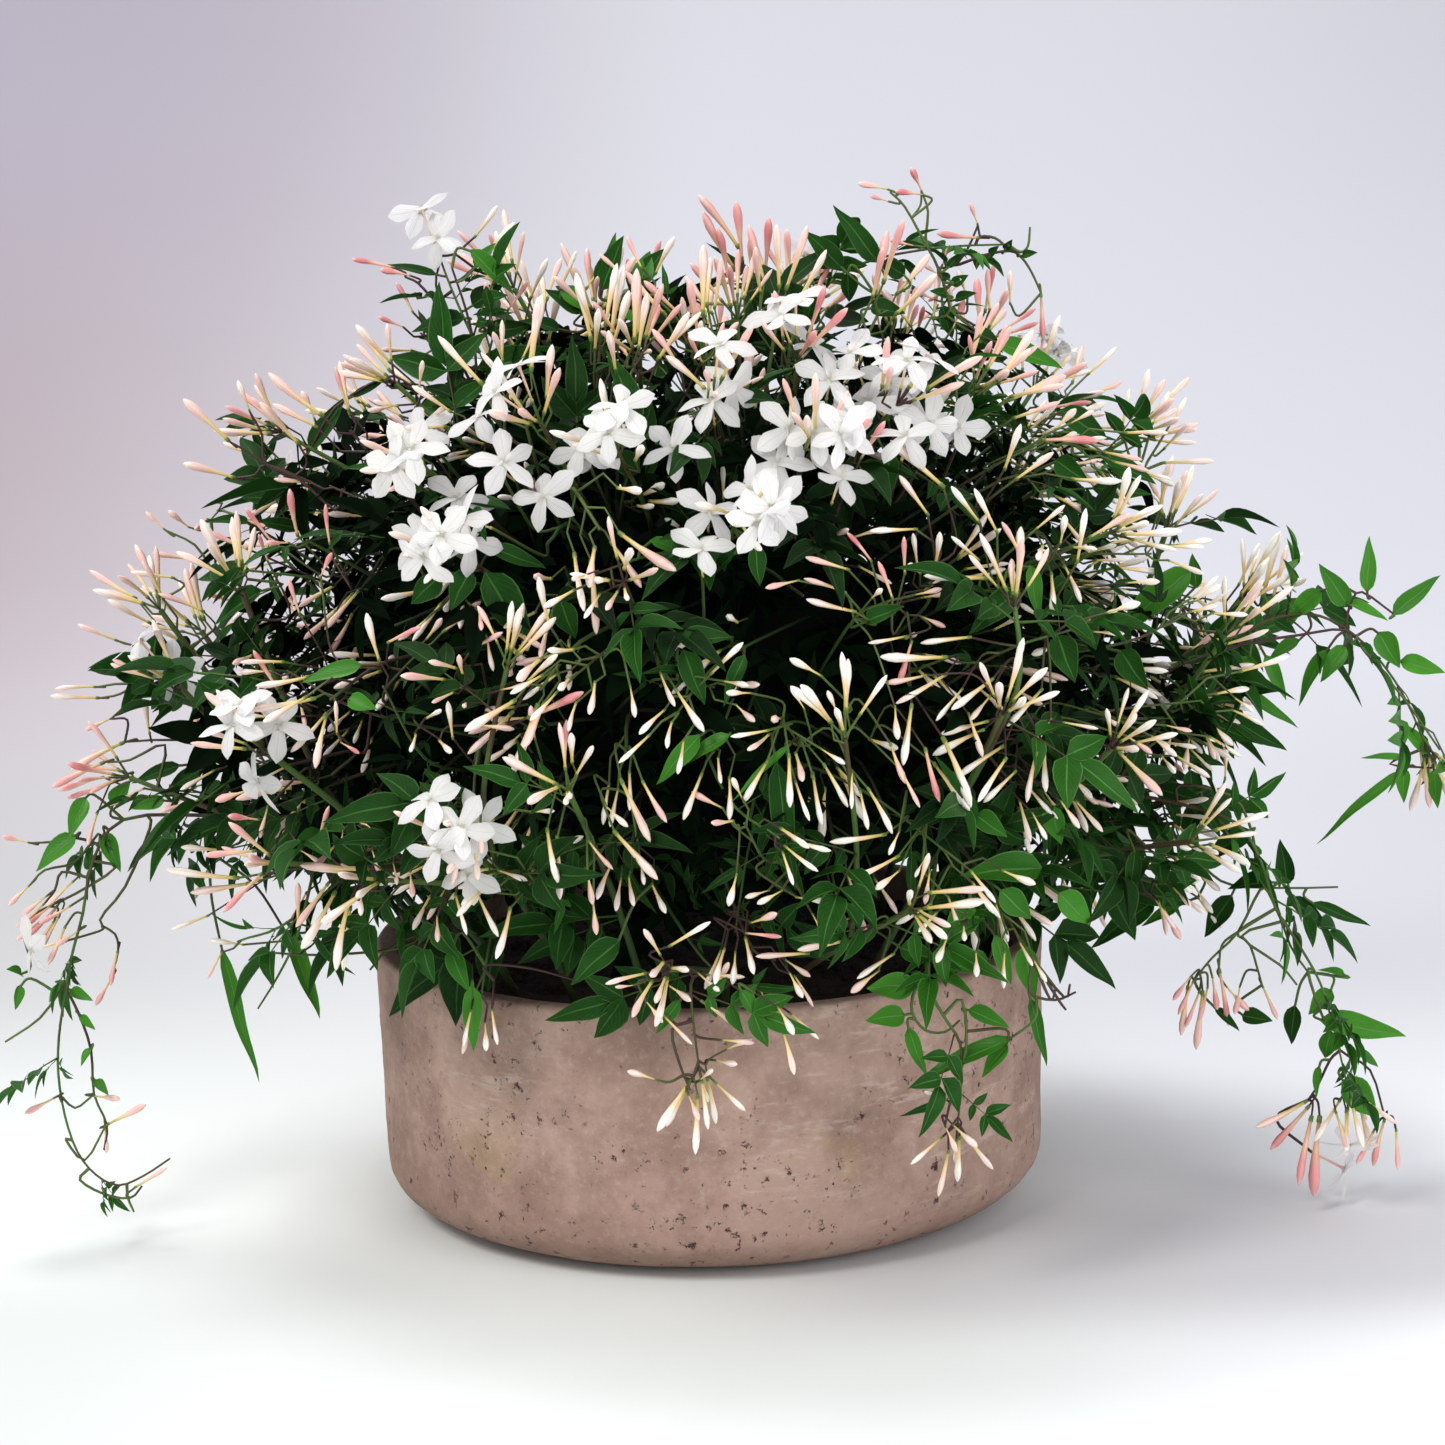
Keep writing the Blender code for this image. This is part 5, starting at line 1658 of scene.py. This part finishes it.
# %% Single buds seen, from base to tip
# Each set has a distance in front of the plant's axis, or none for the dome, and a tint.
BUDS_SEEN = [
    (None, 0.12, [
        (989, 578, 923, 579), (972, 637, 920, 642), (994, 678, 951, 710), (963, 688, 937, 720),
        (989, 721, 940, 733), (985, 729, 931, 753), (912, 703, 903, 766), (933, 762, 970, 811),
        (942, 736, 978, 805), (1007, 757, 976, 802), (1017, 770, 983, 803), (1005, 745, 955, 775),
        (1043, 688, 1008, 727), (1037, 751, 1024, 802), (1052, 718, 1030, 751), (1045, 744, 1043, 792),
        (1032, 812, 1047, 840), (1069, 774, 1092, 798), (945, 488, 890, 440), (980, 523, 951, 486),
        (998, 534, 974, 488), (918, 529, 869, 531), (980, 561, 951, 536), (1004, 471, 1021, 424),
        (1035, 530, 1065, 505), (1060, 545, 1067, 515), (1077, 564, 1086, 508), (1118, 544, 1151, 535),
        (550, 627, 535, 577), (453, 740, 447, 700), (675, 688, 703, 733), (660, 672, 673, 708),
        (630, 685, 636, 718), (710, 675, 743, 640), (823, 677, 790, 657), (805, 710, 791, 687),
        (838, 715, 828, 690), (770, 730, 730, 738), (768, 760, 743, 803), (789, 753, 790, 808),
        (795, 780, 808, 822), (813, 775, 820, 827), (823, 763, 850, 807), (820, 748, 845, 765),
        (852, 770, 852, 810), (860, 790, 868, 830), (867, 787, 897, 832), (887, 834, 830, 845),
        (900, 830, 888, 855), (924, 860, 914, 877), (932, 903, 897, 926), (547, 827, 553, 885),
        (557, 835, 560, 900), (605, 805, 627, 828), (640, 860, 645, 885), (497, 870, 528, 880),
        (530, 812, 555, 810), (455, 893, 467, 935), (477, 893, 497, 937), (343, 830, 340, 855),
        (530, 780, 508, 755), (737, 873, 729, 906), (770, 890, 745, 898), (783, 890, 757, 905),
        (795, 897, 830, 903), (812, 913, 826, 940), (850, 918, 825, 930), (668, 947, 710, 922),
        (275, 717, 238, 715), (240, 878, 165, 875), (210, 915, 170, 930), (245, 945, 210, 940),
    ]),
    (None, 0.50, [
        (907, 636, 868, 645), (948, 657, 881, 661), (927, 675, 886, 686), (948, 673, 897, 706),
        (991, 695, 970, 721), (895, 705, 896, 740), (890, 742, 903, 785), (900, 768, 920, 808),
        (968, 712, 983, 758), (1062, 722, 1099, 729), (1105, 715, 1118, 727), (1118, 751, 1161, 796),
        (1125, 735, 1153, 753), (1150, 735, 1177, 757), (1165, 725, 1192, 732), (1060, 800, 1080, 828),
        (1075, 800, 1103, 832), (929, 516, 899, 475), (1022, 560, 1006, 520), (1015, 480, 1054, 452),
        (1088, 538, 1131, 514), (1125, 583, 1160, 580), (850, 570, 805, 557), (847, 593, 805, 575),
        (857, 612, 805, 602), (800, 580, 765, 588), (470, 650, 503, 632), (527, 682, 555, 653),
        (475, 725, 515, 728), (535, 740, 530, 705), (752, 693, 725, 693), (900, 855, 853, 884),
        (900, 870, 876, 891), (930, 870, 925, 905), (587, 870, 593, 905), (593, 900, 596, 935),
        (588, 840, 610, 872), (565, 868, 592, 875), (620, 778, 651, 842), (642, 780, 664, 823),
        (613, 830, 658, 880), (445, 850, 402, 842), (428, 850, 427, 880), (367, 867, 340, 865),
        (360, 823, 380, 828), (268, 805, 260, 838), (285, 662, 240, 660), (252, 883, 190, 893),
        (298, 925, 298, 882), (337, 735, 336, 703), (750, 923, 778, 915), (850, 940, 797, 950),
        (810, 953, 755, 957), (895, 953, 857, 977), (880, 970, 850, 992), (437, 915, 438, 942),
        (393, 862, 398, 885), (410, 870, 412, 897), (372, 850, 380, 872), (300, 850, 320, 862),
        (200, 800, 160, 812), (225, 850, 180, 848), (215, 770, 180, 790), (250, 790, 215, 800),
    ]),
    (None, 0.92, [
        (912, 640, 900, 684), (925, 747, 937, 803), (872, 562, 850, 530), (905, 575, 903, 535),
        (893, 600, 880, 560), (387, 643, 420, 625), (500, 690, 532, 684), (527, 718, 587, 693),
        (565, 770, 563, 720), (745, 933, 782, 937), (318, 845, 327, 805), (260, 820, 228, 815),
        (340, 742, 360, 753), (278, 690, 253, 650), (298, 537, 286, 490), (272, 542, 245, 508),
        (250, 550, 208, 533), (268, 562, 258, 532), (300, 615, 288, 580), (320, 578, 331, 552),
        (1041, 440, 1099, 437), (860, 460, 885, 420), (845, 450, 870, 415), (330, 545, 322, 505),
    ]),
    (160, 0.40, [
        (635, 985, 615, 988), (663, 1015, 692, 1045), (668, 985, 692, 1000), (706, 975, 745, 977),
        (697, 972, 720, 993), (716, 988, 728, 962), (700, 1000, 740, 1027), (720, 1040, 755, 1042),
        (725, 1050, 752, 1038), (657, 1080, 627, 1070), (700, 1080, 713, 1070), (688, 1094, 700, 1120),
        (715, 1060, 737, 1066), (645, 1000, 664, 1022), (945, 1126, 958, 1152), (952, 1124, 977, 1148),
        (941, 1097, 925, 1091),
    ]),
    (30, 0.45, [
        (230, 442, 183, 397), (236, 478, 182, 462), (300, 445, 258, 402), (315, 420, 303, 390),
        (165, 530, 145, 512), (190, 528, 168, 512), (175, 578, 130, 572), (205, 612, 160, 590),
        (185, 632, 140, 622), (250, 412, 238, 380), (195, 560, 152, 553), (118, 641, 78, 625),
        (97, 687, 55, 685), (100, 698, 50, 696), (112, 718, 85, 730), (125, 742, 68, 765),
        (150, 735, 143, 700), (190, 690, 170, 650), (1190, 650, 1215, 635), (1210, 642, 1254, 628),
        (106, 1125, 146, 1106), (105, 1126, 107, 1153), (134, 1188, 168, 1168), (92, 1096, 120, 1098),
        (1222, 645, 1270, 634), (1200, 672, 1255, 665), (1195, 615, 1232, 588), (1263, 598, 1276, 532),
        (1272, 600, 1290, 545), (1283, 592, 1306, 578), (1225, 780, 1228, 742),
    ]),
    (40, 0.75, [
        (140, 672, 112, 660), (105, 762, 50, 785), (125, 775, 88, 792), (98, 812, 85, 845),
        (30, 885, 8, 905), (45, 903, 18, 930), (58, 905, 30, 940), (30, 843, 2, 836),
        (75, 880, 45, 905), (55, 920, 30, 955), (118, 950, 108, 985), (80, 930, 55, 945),
        (48, 895, 22, 915), (52, 905, 25, 925), (60, 915, 40, 950), (66, 925, 48, 965),
        (50, 915, 15, 940), (72, 905, 40, 925), (112, 978, 95, 1005), (56, 1097, 25, 1114),
        (1194, 980, 1178, 1015), (1203, 990, 1196, 1050), (1219, 968, 1231, 1026),
        (1192, 975, 1172, 1000), (1188, 985, 1181, 1036), (1200, 990, 1186, 1028),
        (1208, 985, 1201, 1022), (1212, 975, 1218, 1010), (1240, 985, 1236, 1015),
        (1262, 985, 1278, 1020), (1225, 985, 1248, 1012), (1308, 1100, 1258, 1133),
        (1310, 1105, 1270, 1150), (1312, 1115, 1295, 1185), (1320, 1115, 1308, 1196),
        (1396, 1128, 1398, 1170), (1385, 1118, 1370, 1166), (1374, 1130, 1358, 1166),
        (1335, 1110, 1350, 1150),
    ]),
    (8, 0.85, [
        (740, 250, 703, 190), (735, 270, 697, 215), (742, 262, 738, 200), (765, 275, 770, 218),
        (728, 280, 722, 228), (752, 280, 748, 235), (890, 190, 858, 182), (890, 202, 870, 195),
        (922, 192, 912, 168), (925, 195, 895, 190), (915, 246, 890, 240), (978, 225, 970, 203),
        (980, 238, 938, 235), (990, 312, 985, 268), (915, 340, 925, 305), (905, 330, 915, 285),
        (412, 276, 380, 268), (395, 268, 352, 256), (432, 388, 412, 368), (1041, 293, 1043, 340),
        (1040, 390, 1088, 362), (1045, 408, 1092, 402), (952, 330, 965, 300), (880, 330, 875, 295),
        (940, 276, 924, 264), (944, 292, 928, 302), (942, 266, 948, 248), (935, 300, 915, 290),
    ]),
    (8, 0.20, [
        (478, 264, 515, 222), (474, 238, 500, 206), (530, 300, 545, 258), (560, 290, 577, 250),
        (585, 290, 615, 250), (580, 315, 630, 285), (565, 345, 640, 308), (655, 275, 672, 235),
        (1122, 430, 1128, 388), (1152, 425, 1170, 392), (1168, 428, 1188, 398), (1163, 450, 1190, 420),
        (1010, 305, 1010, 270), (968, 300, 958, 268), (690, 292, 742, 276), (700, 304, 757, 302),
    ]),
]

# %% Single leaves seen, from base to tip, with their width in pixels
LEAVES_SEEN = [
    (None, 0.50, [
        (485, 573, 533, 648, 30), (490, 548, 548, 567, 14), (777, 762, 793, 893, 22),
        (683, 650, 705, 705, 20), (680, 640, 732, 635, 20), (745, 655, 722, 705, 12),
        (735, 553, 705, 580, 16), (755, 545, 760, 587, 14), (1018, 590, 968, 633, 28),
        (1072, 605, 1098, 650, 24), (1057, 635, 1075, 682, 26), (1120, 650, 1147, 690, 28),
        (888, 452, 890, 497, 20), (1055, 460, 1088, 482, 26), (262, 590, 210, 623, 22),
        (250, 570, 196, 578, 18), (240, 712, 198, 680, 24), (270, 852, 302, 815, 28),
        (372, 868, 362, 942, 14), (1155, 900, 1090, 947, 22), (1135, 850, 1130, 903, 14),
        (1155, 885, 1197, 880, 22), (865, 622, 902, 605, 16), (620, 940, 568, 984, 24),
        (1100, 455, 1158, 482, 20), (1092, 488, 1152, 494, 16), (1060, 410, 1110, 440, 24),
        (440, 575, 410, 605, 26), (470, 570, 450, 610, 26), (560, 600, 575, 640, 22),
    ]),
    (None, 0.82, [
        (362, 665, 300, 680, 20), (348, 700, 376, 708, 24), (730, 735, 678, 765, 14),
        (700, 735, 655, 785, 16), (790, 745, 728, 800, 9), (695, 548, 655, 570, 9),
        (1192, 568, 1108, 640, 28), (1197, 588, 1192, 553, 14), (975, 815, 1007, 836, 28),
        (1042, 868, 962, 872, 28), (1052, 805, 1060, 846, 20), (1000, 890, 1032, 920, 26),
        (972, 903, 948, 947, 28), (1058, 893, 1092, 925, 26), (900, 948, 938, 960, 22),
        (990, 962, 943, 968, 26), (1025, 945, 1033, 1002, 24), (995, 935, 1012, 987, 14),
        (450, 950, 468, 992, 20), (650, 540, 690, 552, 10), (1030, 565, 1040, 620, 12),
    ]),
    (162, 0.80, [
        (472, 985, 473, 1053, 20), (915, 985, 866, 988, 24), (905, 1015, 866, 1020, 18),
        (908, 1028, 926, 1077, 16), (1012, 1038, 902, 1084, 20), (1008, 1045, 980, 1077, 16),
        (968, 1010, 1010, 1026, 18), (1030, 998, 1048, 1067, 13), (740, 990, 760, 1020, 14),
        (680, 1000, 655, 1035, 12),
    ]),
    (20, 0.42, [
        (465, 318, 410, 329, 22), (480, 340, 428, 363, 22), (486, 332, 533, 325, 16),
        (1165, 640, 1206, 690, 18), (1180, 662, 1236, 642, 16), (1192, 665, 1246, 702, 18),
        (1205, 690, 1252, 730, 20), (1222, 690, 1276, 690, 16), (1185, 700, 1230, 746, 20),
        (1200, 720, 1264, 742, 18), (1180, 730, 1215, 781, 18), (1232, 720, 1288, 750, 14),
        (1170, 750, 1225, 765, 18), (1190, 770, 1196, 815, 18), (1160, 790, 1205, 800, 18),
        (1150, 820, 1175, 860, 20), (1140, 700, 1176, 735, 20), (1212, 640, 1240, 605, 16),
        (478, 368, 580, 350, 28), (472, 306, 502, 284, 20), (437, 275, 378, 261, 11),
        (585, 312, 545, 288, 18), (602, 290, 621, 236, 20), (630, 292, 666, 246, 20),
        (560, 330, 520, 318, 16), (600, 330, 570, 300, 16), (640, 330, 690, 312, 18),
        (700, 345, 660, 318, 18), (610, 345, 560, 362, 20), (820, 320, 780, 300, 18),
        (942, 305, 953, 340, 14), (975, 330, 1005, 352, 14), (540, 380, 500, 350, 16),
        (945, 262, 930, 245, 8), (948, 268, 962, 252, 8), (950, 280, 935, 272, 9),
        (952, 285, 968, 275, 9), (948, 295, 930, 290, 9), (955, 300, 975, 292, 8),
        (990, 256, 998, 246, 6), (1005, 250, 1012, 240, 6), (1022, 256, 1036, 252, 6),
        (842, 268, 805, 230, 22), (878, 262, 835, 206, 20), (847, 272, 850, 303, 18),
        (815, 288, 807, 322, 16), (905, 275, 878, 260, 18), (870, 308, 905, 312, 18),
        (310, 450, 345, 395, 14), (352, 397, 390, 376, 9), (250, 522, 203, 519, 12),
        (300, 528, 250, 520, 14), (180, 765, 130, 782, 14), (200, 770, 165, 790, 18),
        (1202, 800, 1180, 846, 18), (1250, 830, 1204, 860, 24), (1228, 828, 1203, 803, 16),
        (1272, 882, 1228, 886, 22), (1288, 884, 1280, 840, 20), (1232, 895, 1203, 938, 20),
        (1195, 876, 1150, 884, 20), (1290, 897, 1332, 932, 12), (1312, 903, 1373, 926, 10),
        (1242, 1016, 1272, 1020, 14), (1215, 1008, 1240, 1030, 10), (1295, 1005, 1290, 1046, 16),
    ]),
    (20, 0.88, [
        (470, 250, 515, 292, 14), (475, 268, 495, 242, 14), (600, 285, 618, 232, 16),
        (640, 285, 650, 250, 22), (560, 290, 590, 310, 18), (620, 300, 640, 325, 16),
        (995, 342, 1064, 366, 16), (85, 797, 68, 838, 18), (76, 835, 34, 870, 18),
        (104, 832, 120, 872, 16), (112, 805, 130, 780, 18), (165, 800, 130, 808, 12),
        (1348, 605, 1320, 565, 16), (1367, 592, 1370, 536, 13), (1345, 602, 1390, 618, 12),
        (1393, 615, 1440, 574, 15), (1378, 632, 1400, 668, 20), (1400, 661, 1445, 672, 16),
        (1322, 590, 1284, 622, 18), (1327, 650, 1295, 705, 17), (1345, 645, 1320, 682, 17),
        (1265, 655, 1287, 700, 16), (1250, 655, 1238, 702, 24), (1240, 690, 1300, 726, 12),
        (1300, 640, 1265, 660, 16), (1403, 770, 1312, 842, 11), (1404, 757, 1360, 756, 8),
        (1404, 768, 1403, 803, 13), (1430, 755, 1393, 716, 13), (1434, 770, 1437, 808, 13),
        (1332, 990, 1308, 1014, 22), (1320, 1020, 1408, 1035, 24), (1330, 1030, 1325, 1060, 22),
        (1342, 1080, 1378, 1118, 24), (1356, 1052, 1380, 1066, 10), (1319, 1066, 1315, 1098, 10),
        (1345, 975, 1318, 968, 10), (1180, 905, 1140, 925, 12), (222, 950, 258, 1086, 11),
        (285, 930, 325, 1020, 14), (22, 975, 8, 968, 9), (20, 985, 16, 1010, 9),
        (70, 990, 92, 1000, 9),
        (80, 1015, 95, 1030, 9), (90, 1048, 80, 1066, 8), (60, 985, 48, 1002, 8),
        (95, 1080, 108, 1094, 8),
    ]),
]

# %% Stems seen against the backdrop
STEMS_SEEN = [
    (20, [(478, 390), (475, 350), (466, 310), (452, 268)]),
    (20, [(472, 385), (455, 352), (446, 325), (436, 285), (440, 262)]),
    (20, [(436, 300), (418, 283), (405, 277)]),
    (30, [(335, 510), (300, 480), (267, 465), (248, 452), (230, 442)]),
    (30, [(267, 465), (262, 435), (250, 412)]), (30, [(267, 465), (255, 475), (236, 478)]),
    (20, [(310, 450), (335, 408), (385, 377), (408, 384), (420, 402)]),
    (30, [(215, 570), (195, 545), (165, 530)]), (30, [(200, 640), (170, 660), (138, 680)]),
    (30, [(170, 660), (140, 648), (118, 641)]), (30, [(138, 680), (115, 684), (97, 687)]),
    (30, [(138, 681), (120, 694), (100, 698)]), (30, [(136, 682), (125, 705), (112, 718)]),
    (30, [(210, 746), (165, 740), (125, 742)]), (40, [(165, 745), (130, 760), (105, 762)]),
    (40, [(98, 834), (75, 862), (45, 870), (30, 885)]), (40, [(62, 872), (55, 890), (45, 903)]),
    (40, [(150, 828), (125, 887), (100, 920), (115, 934), (118, 952), (110, 980)]),
    (40, [(115, 868), (75, 894), (38, 912), (22, 930)]), (50, [(64, 985), (40, 1018), (5, 1042)]),
    (50, [(64, 985), (78, 1012), (91, 1050), (94, 1094), (107, 1125), (104, 1150)]),
    (55, [(66, 1140), (85, 1160), (106, 1125)]),
    (60, [(80, 1180), (104, 1194), (130, 1198), (142, 1186)]),
    (60, [(128, 1198), (134, 1212)]), (50, [(60, 1095), (75, 1108), (92, 1096)]),
    (40, [(76, 838), (50, 842), (30, 843)]),
    (8, [(950, 310), (938, 268), (925, 243), (905, 207), (890, 192)]),
    (8, [(925, 243), (928, 212), (922, 192)]), (8, [(955, 265), (968, 248), (978, 225)]),
    (8, [(950, 266), (985, 255), (1010, 251), (1022, 258), (1032, 273), (1041, 293)]),
    (8, [(980, 237), (995, 238), (1008, 248), (1018, 254)]),
    (8, [(1020, 252), (1028, 246), (1030, 227)]),
    (8, [(1135, 480), (1126, 445), (1122, 430)]), (8, [(1140, 465), (1148, 440), (1152, 425)]),
    (8, [(1145, 468), (1158, 445), (1168, 428)]), (8, [(755, 310), (745, 285), (735, 270)]),
    (30, [(1180, 665), (1240, 645), (1300, 635), (1345, 630), (1365, 652), (1405, 700), (1440, 750)]),
    (30, [(1345, 630), (1350, 605), (1362, 592), (1395, 615)]), (30, [(1390, 764), (1432, 768)]),
    (40, [(1180, 785), (1232, 796), (1252, 832), (1257, 866), (1275, 900), (1290, 945), (1308, 972)]),
    (40, [(1175, 835), (1205, 868), (1232, 885), (1290, 888), (1338, 887)]),
    (40, [(1260, 890), (1238, 932), (1212, 958), (1194, 980)]),
    (40, [(1238, 932), (1250, 945), (1262, 985)]),
    (40, [(1238, 932), (1222, 945), (1219, 968)]), (40, [(1242, 936), (1280, 965), (1297, 985)]),
    (40, [(1308, 972), (1320, 1010), (1340, 1050), (1370, 1070), (1385, 1118)]),
    (40, [(1330, 1060), (1318, 1085), (1308, 1100)]), (160, [(672, 1030), (680, 1065), (690, 1090)]),
    (160, [(684, 1075), (670, 1082), (657, 1080)]), (160, [(684, 1078), (694, 1082), (700, 1080)]),
    (160, [(915, 990), (912, 1012), (925, 1030), (945, 1032), (960, 1020)]),
    (160, [(962, 1000), (966, 1050), (952, 1095), (945, 1126)]),
    (160, [(1030, 992), (1055, 1000), (1076, 992)]), (60, [(400, 948), (320, 955), (262, 952)]),
    (160, [(1058, 999), (1066, 1010)]), (160, [(1064, 997), (1070, 984)]),
    (160, [(1050, 999), (1056, 988)]),
    (150, [(485, 965), (530, 968), (575, 980)]), (60, [(388, 950), (370, 970)]),
]


def picture_way(degrees):
    """The direction in space that runs at an angle in the picture."""
    a = math.radians(degrees)
    return camera_matrix().to_3x3() @ Vector((math.cos(a), math.sin(a), 0))


def point_seen(x, y, front, reach=1.0):
    """The point under a pixel: on the dome, or in an upright plane in front of its axis."""
    if front is None:
        return seen_on_dome(x, y, reach)
    way = ray_through(x, y)
    point = CAMERA_AT + way * ((-front / 1000 - CAMERA_AT.y) / way.y)
    return Vector((point.x, point.y, max(0.002, point.z)))


class Stems:
    """All stems drawn so far, to join the next stalk to the nearest one."""

    def __init__(self):
        self.tree = KDTree(len(stem_points))
        for number, point in enumerate(stem_points):
            self.tree.insert(point, number)
        self.tree.balance()

    def front_at(self, x, y, front):
        """How far in front of the axis the stem is that passes nearest to a pixel's ray."""
        for _ in range(0 if front is None else 3):
            front = -self.tree.find(point_seen(x, y, front))[0].y * 1000
        return front

    def joined(self, path):
        """A path with the nearest stem point put before it."""
        nearest = self.tree.find(path[0])[0]
        return [nearest, *path] if (nearest - path[0]).length > 0.0003 else list(path)


def make_seen_sprays(stems):
    for number, (x, y, degrees, count, tint) in enumerate(SPRAYS_SEEN):
        dice = draw("seen spray", number)
        hub = seen_on_dome(x, y, 0.97)
        aim = (picture_way(degrees) + outward(hub) * 0.35).normalized()
        inside = hub - aim * 0.035 - outward(hub) * 0.045
        path = smooth_path(stems.joined([inside, hub - aim * 0.022 - outward(hub) * 0.006, hub]), 4)
        piece = piece_at(hub)
        piece.stem(path, taper(path, *SPRAY_STEM), STALK)
        add_spray(piece, path, count, tint, dice, 1.25)


def make_seen_stems(stems):
    for front, corners_seen in STEMS_SEEN:
        front = stems.front_at(*corners_seen[0], front)
        corners_at = [point_seen(x, y, front) for x, y in corners_seen]
        path = smooth_path(stems.joined(corners_at), 3)
        piece = piece_at(corners_at[0])
        piece.stem(path, taper(path, *SEEN_STEM), STALK)


def stalk_to(piece, stems, base, way, back, radius, slot):
    """A curved stalk from the nearest stem that ends at a base, pointing the given way."""
    nearest = stems.tree.find(back)[0]
    bent = back.lerp(nearest, 0.3) - way * (back - nearest).length * 0.25
    path = smooth_path(stems.joined([bent, base + way * 0.0008]), 4)
    piece.stem(path, taper(path, radius * 1.2, radius), slot)


def make_seen_buds(stems):
    for front, tint, buds in BUDS_SEEN:
        for x, y, tip_x, tip_y in buds:
            dice = draw("seen bud", x, y)
            base = point_seen(x, y, stems.front_at(x, y, front), dice.uniform(0.96, 1.0))
            tip = point_seen(tip_x, tip_y, -base.y * 1000 + dice.uniform(-2, 8))
            if not fits(tip):
                continue
            piece = piece_at(base)
            way = (tip - base).normalized()
            add_bud(piece, base, tip, tint, dice)
            back = base - way * (0.010 if front is None else 0.003)
            if front is None:
                back -= outward(base) * 0.012
            stalk_to(piece, stems, base, way, back, STALK_RADIUS, STALK)


def make_seen_leaves(stems):
    for front, tint, leaves in LEAVES_SEEN:
        for x, y, tip_x, tip_y, width in leaves:
            dice = draw("seen leaf", x, y)
            base = point_seen(x, y, stems.front_at(x, y, front), 0.95)
            tip = point_seen(tip_x, tip_y, -base.y * 1000 + dice.uniform(-4, 8))
            if not (fits(tip) and fits(base)):
                continue
            share = width / math.hypot(tip_x - x, tip_y - y)
            master = min(zip(SINGLE_WIDTHS, SINGLES), key=lambda pair: abs(pair[0] - share))[1]
            face = (CAMERA_AT - base).normalized() + Vector((0, 0, 0.45)) + jitter(dice, 0.4)
            placed = placing(base, axes_for(tip - base, face), (tip - base).length)
            piece = piece_at(base)
            piece.stamp(master, placed, min(1.0, tint + dice.uniform(-0.1, 0.1)))
            way = (tip - base).normalized()
            back = base - way * 0.002 - outward(base) * (0.008 if front is None else 0.0)
            stalk_to(piece, stems, base, way, back, LEAF_STALK, STEM)


def make_seen_flowers(stems):
    added = 0
    for number, (x, y, front) in enumerate(FLOWERS_SEEN):
        dice = draw("seen flower", number)
        throat = point_seen(x, y, front, dice.uniform(0.98, 1.05))
        if any((throat - made).length < FLOWER_NEAR for made in flower_feet):
            continue
        aim = outward(throat) + (CAMERA_AT - throat).normalized() * 0.5 + jitter(dice, 0.75)
        aim.normalize()
        throat.z = max(throat.z, FLOWER_CLEAR)
        foot = throat - aim * TUBE_LENGTH
        piece = piece_named("extra_flowers", None, "petals")
        piece.stamp(dice.choice(FLOWERS), upright(foot, aim, dice.uniform(0, 1.2), TUBE_LENGTH),
                    dice.uniform(0.0, 0.8))
        back = foot - aim * 0.010 - outward(foot) * (0.02 if front is None else 0.0)
        stalk_to(piece, stems, foot, aim, back, STALK_RADIUS * 1.3, STALK)
        added += 1
    print("flowers added from the photograph:", added)


make_seen_sprays(Stems())
make_seen_stems(Stems())
stems = Stems()
make_seen_leaves(stems)
make_seen_buds(stems)
make_seen_flowers(stems)
print("stem points:", len(stem_points))

# %% Finish the pieces
for piece in pieces.values():
    piece.finish()
triangles = {}
for thing in bpy.context.scene.objects:
    if thing.type == "MESH":
        triangles[thing.name] = sum(len(face.vertices) - 2 for face in thing.data.polygons)
largest = max(triangles, key=triangles.get)
print("triangles:", sum(triangles.values()), "largest:", largest, triangles[largest])
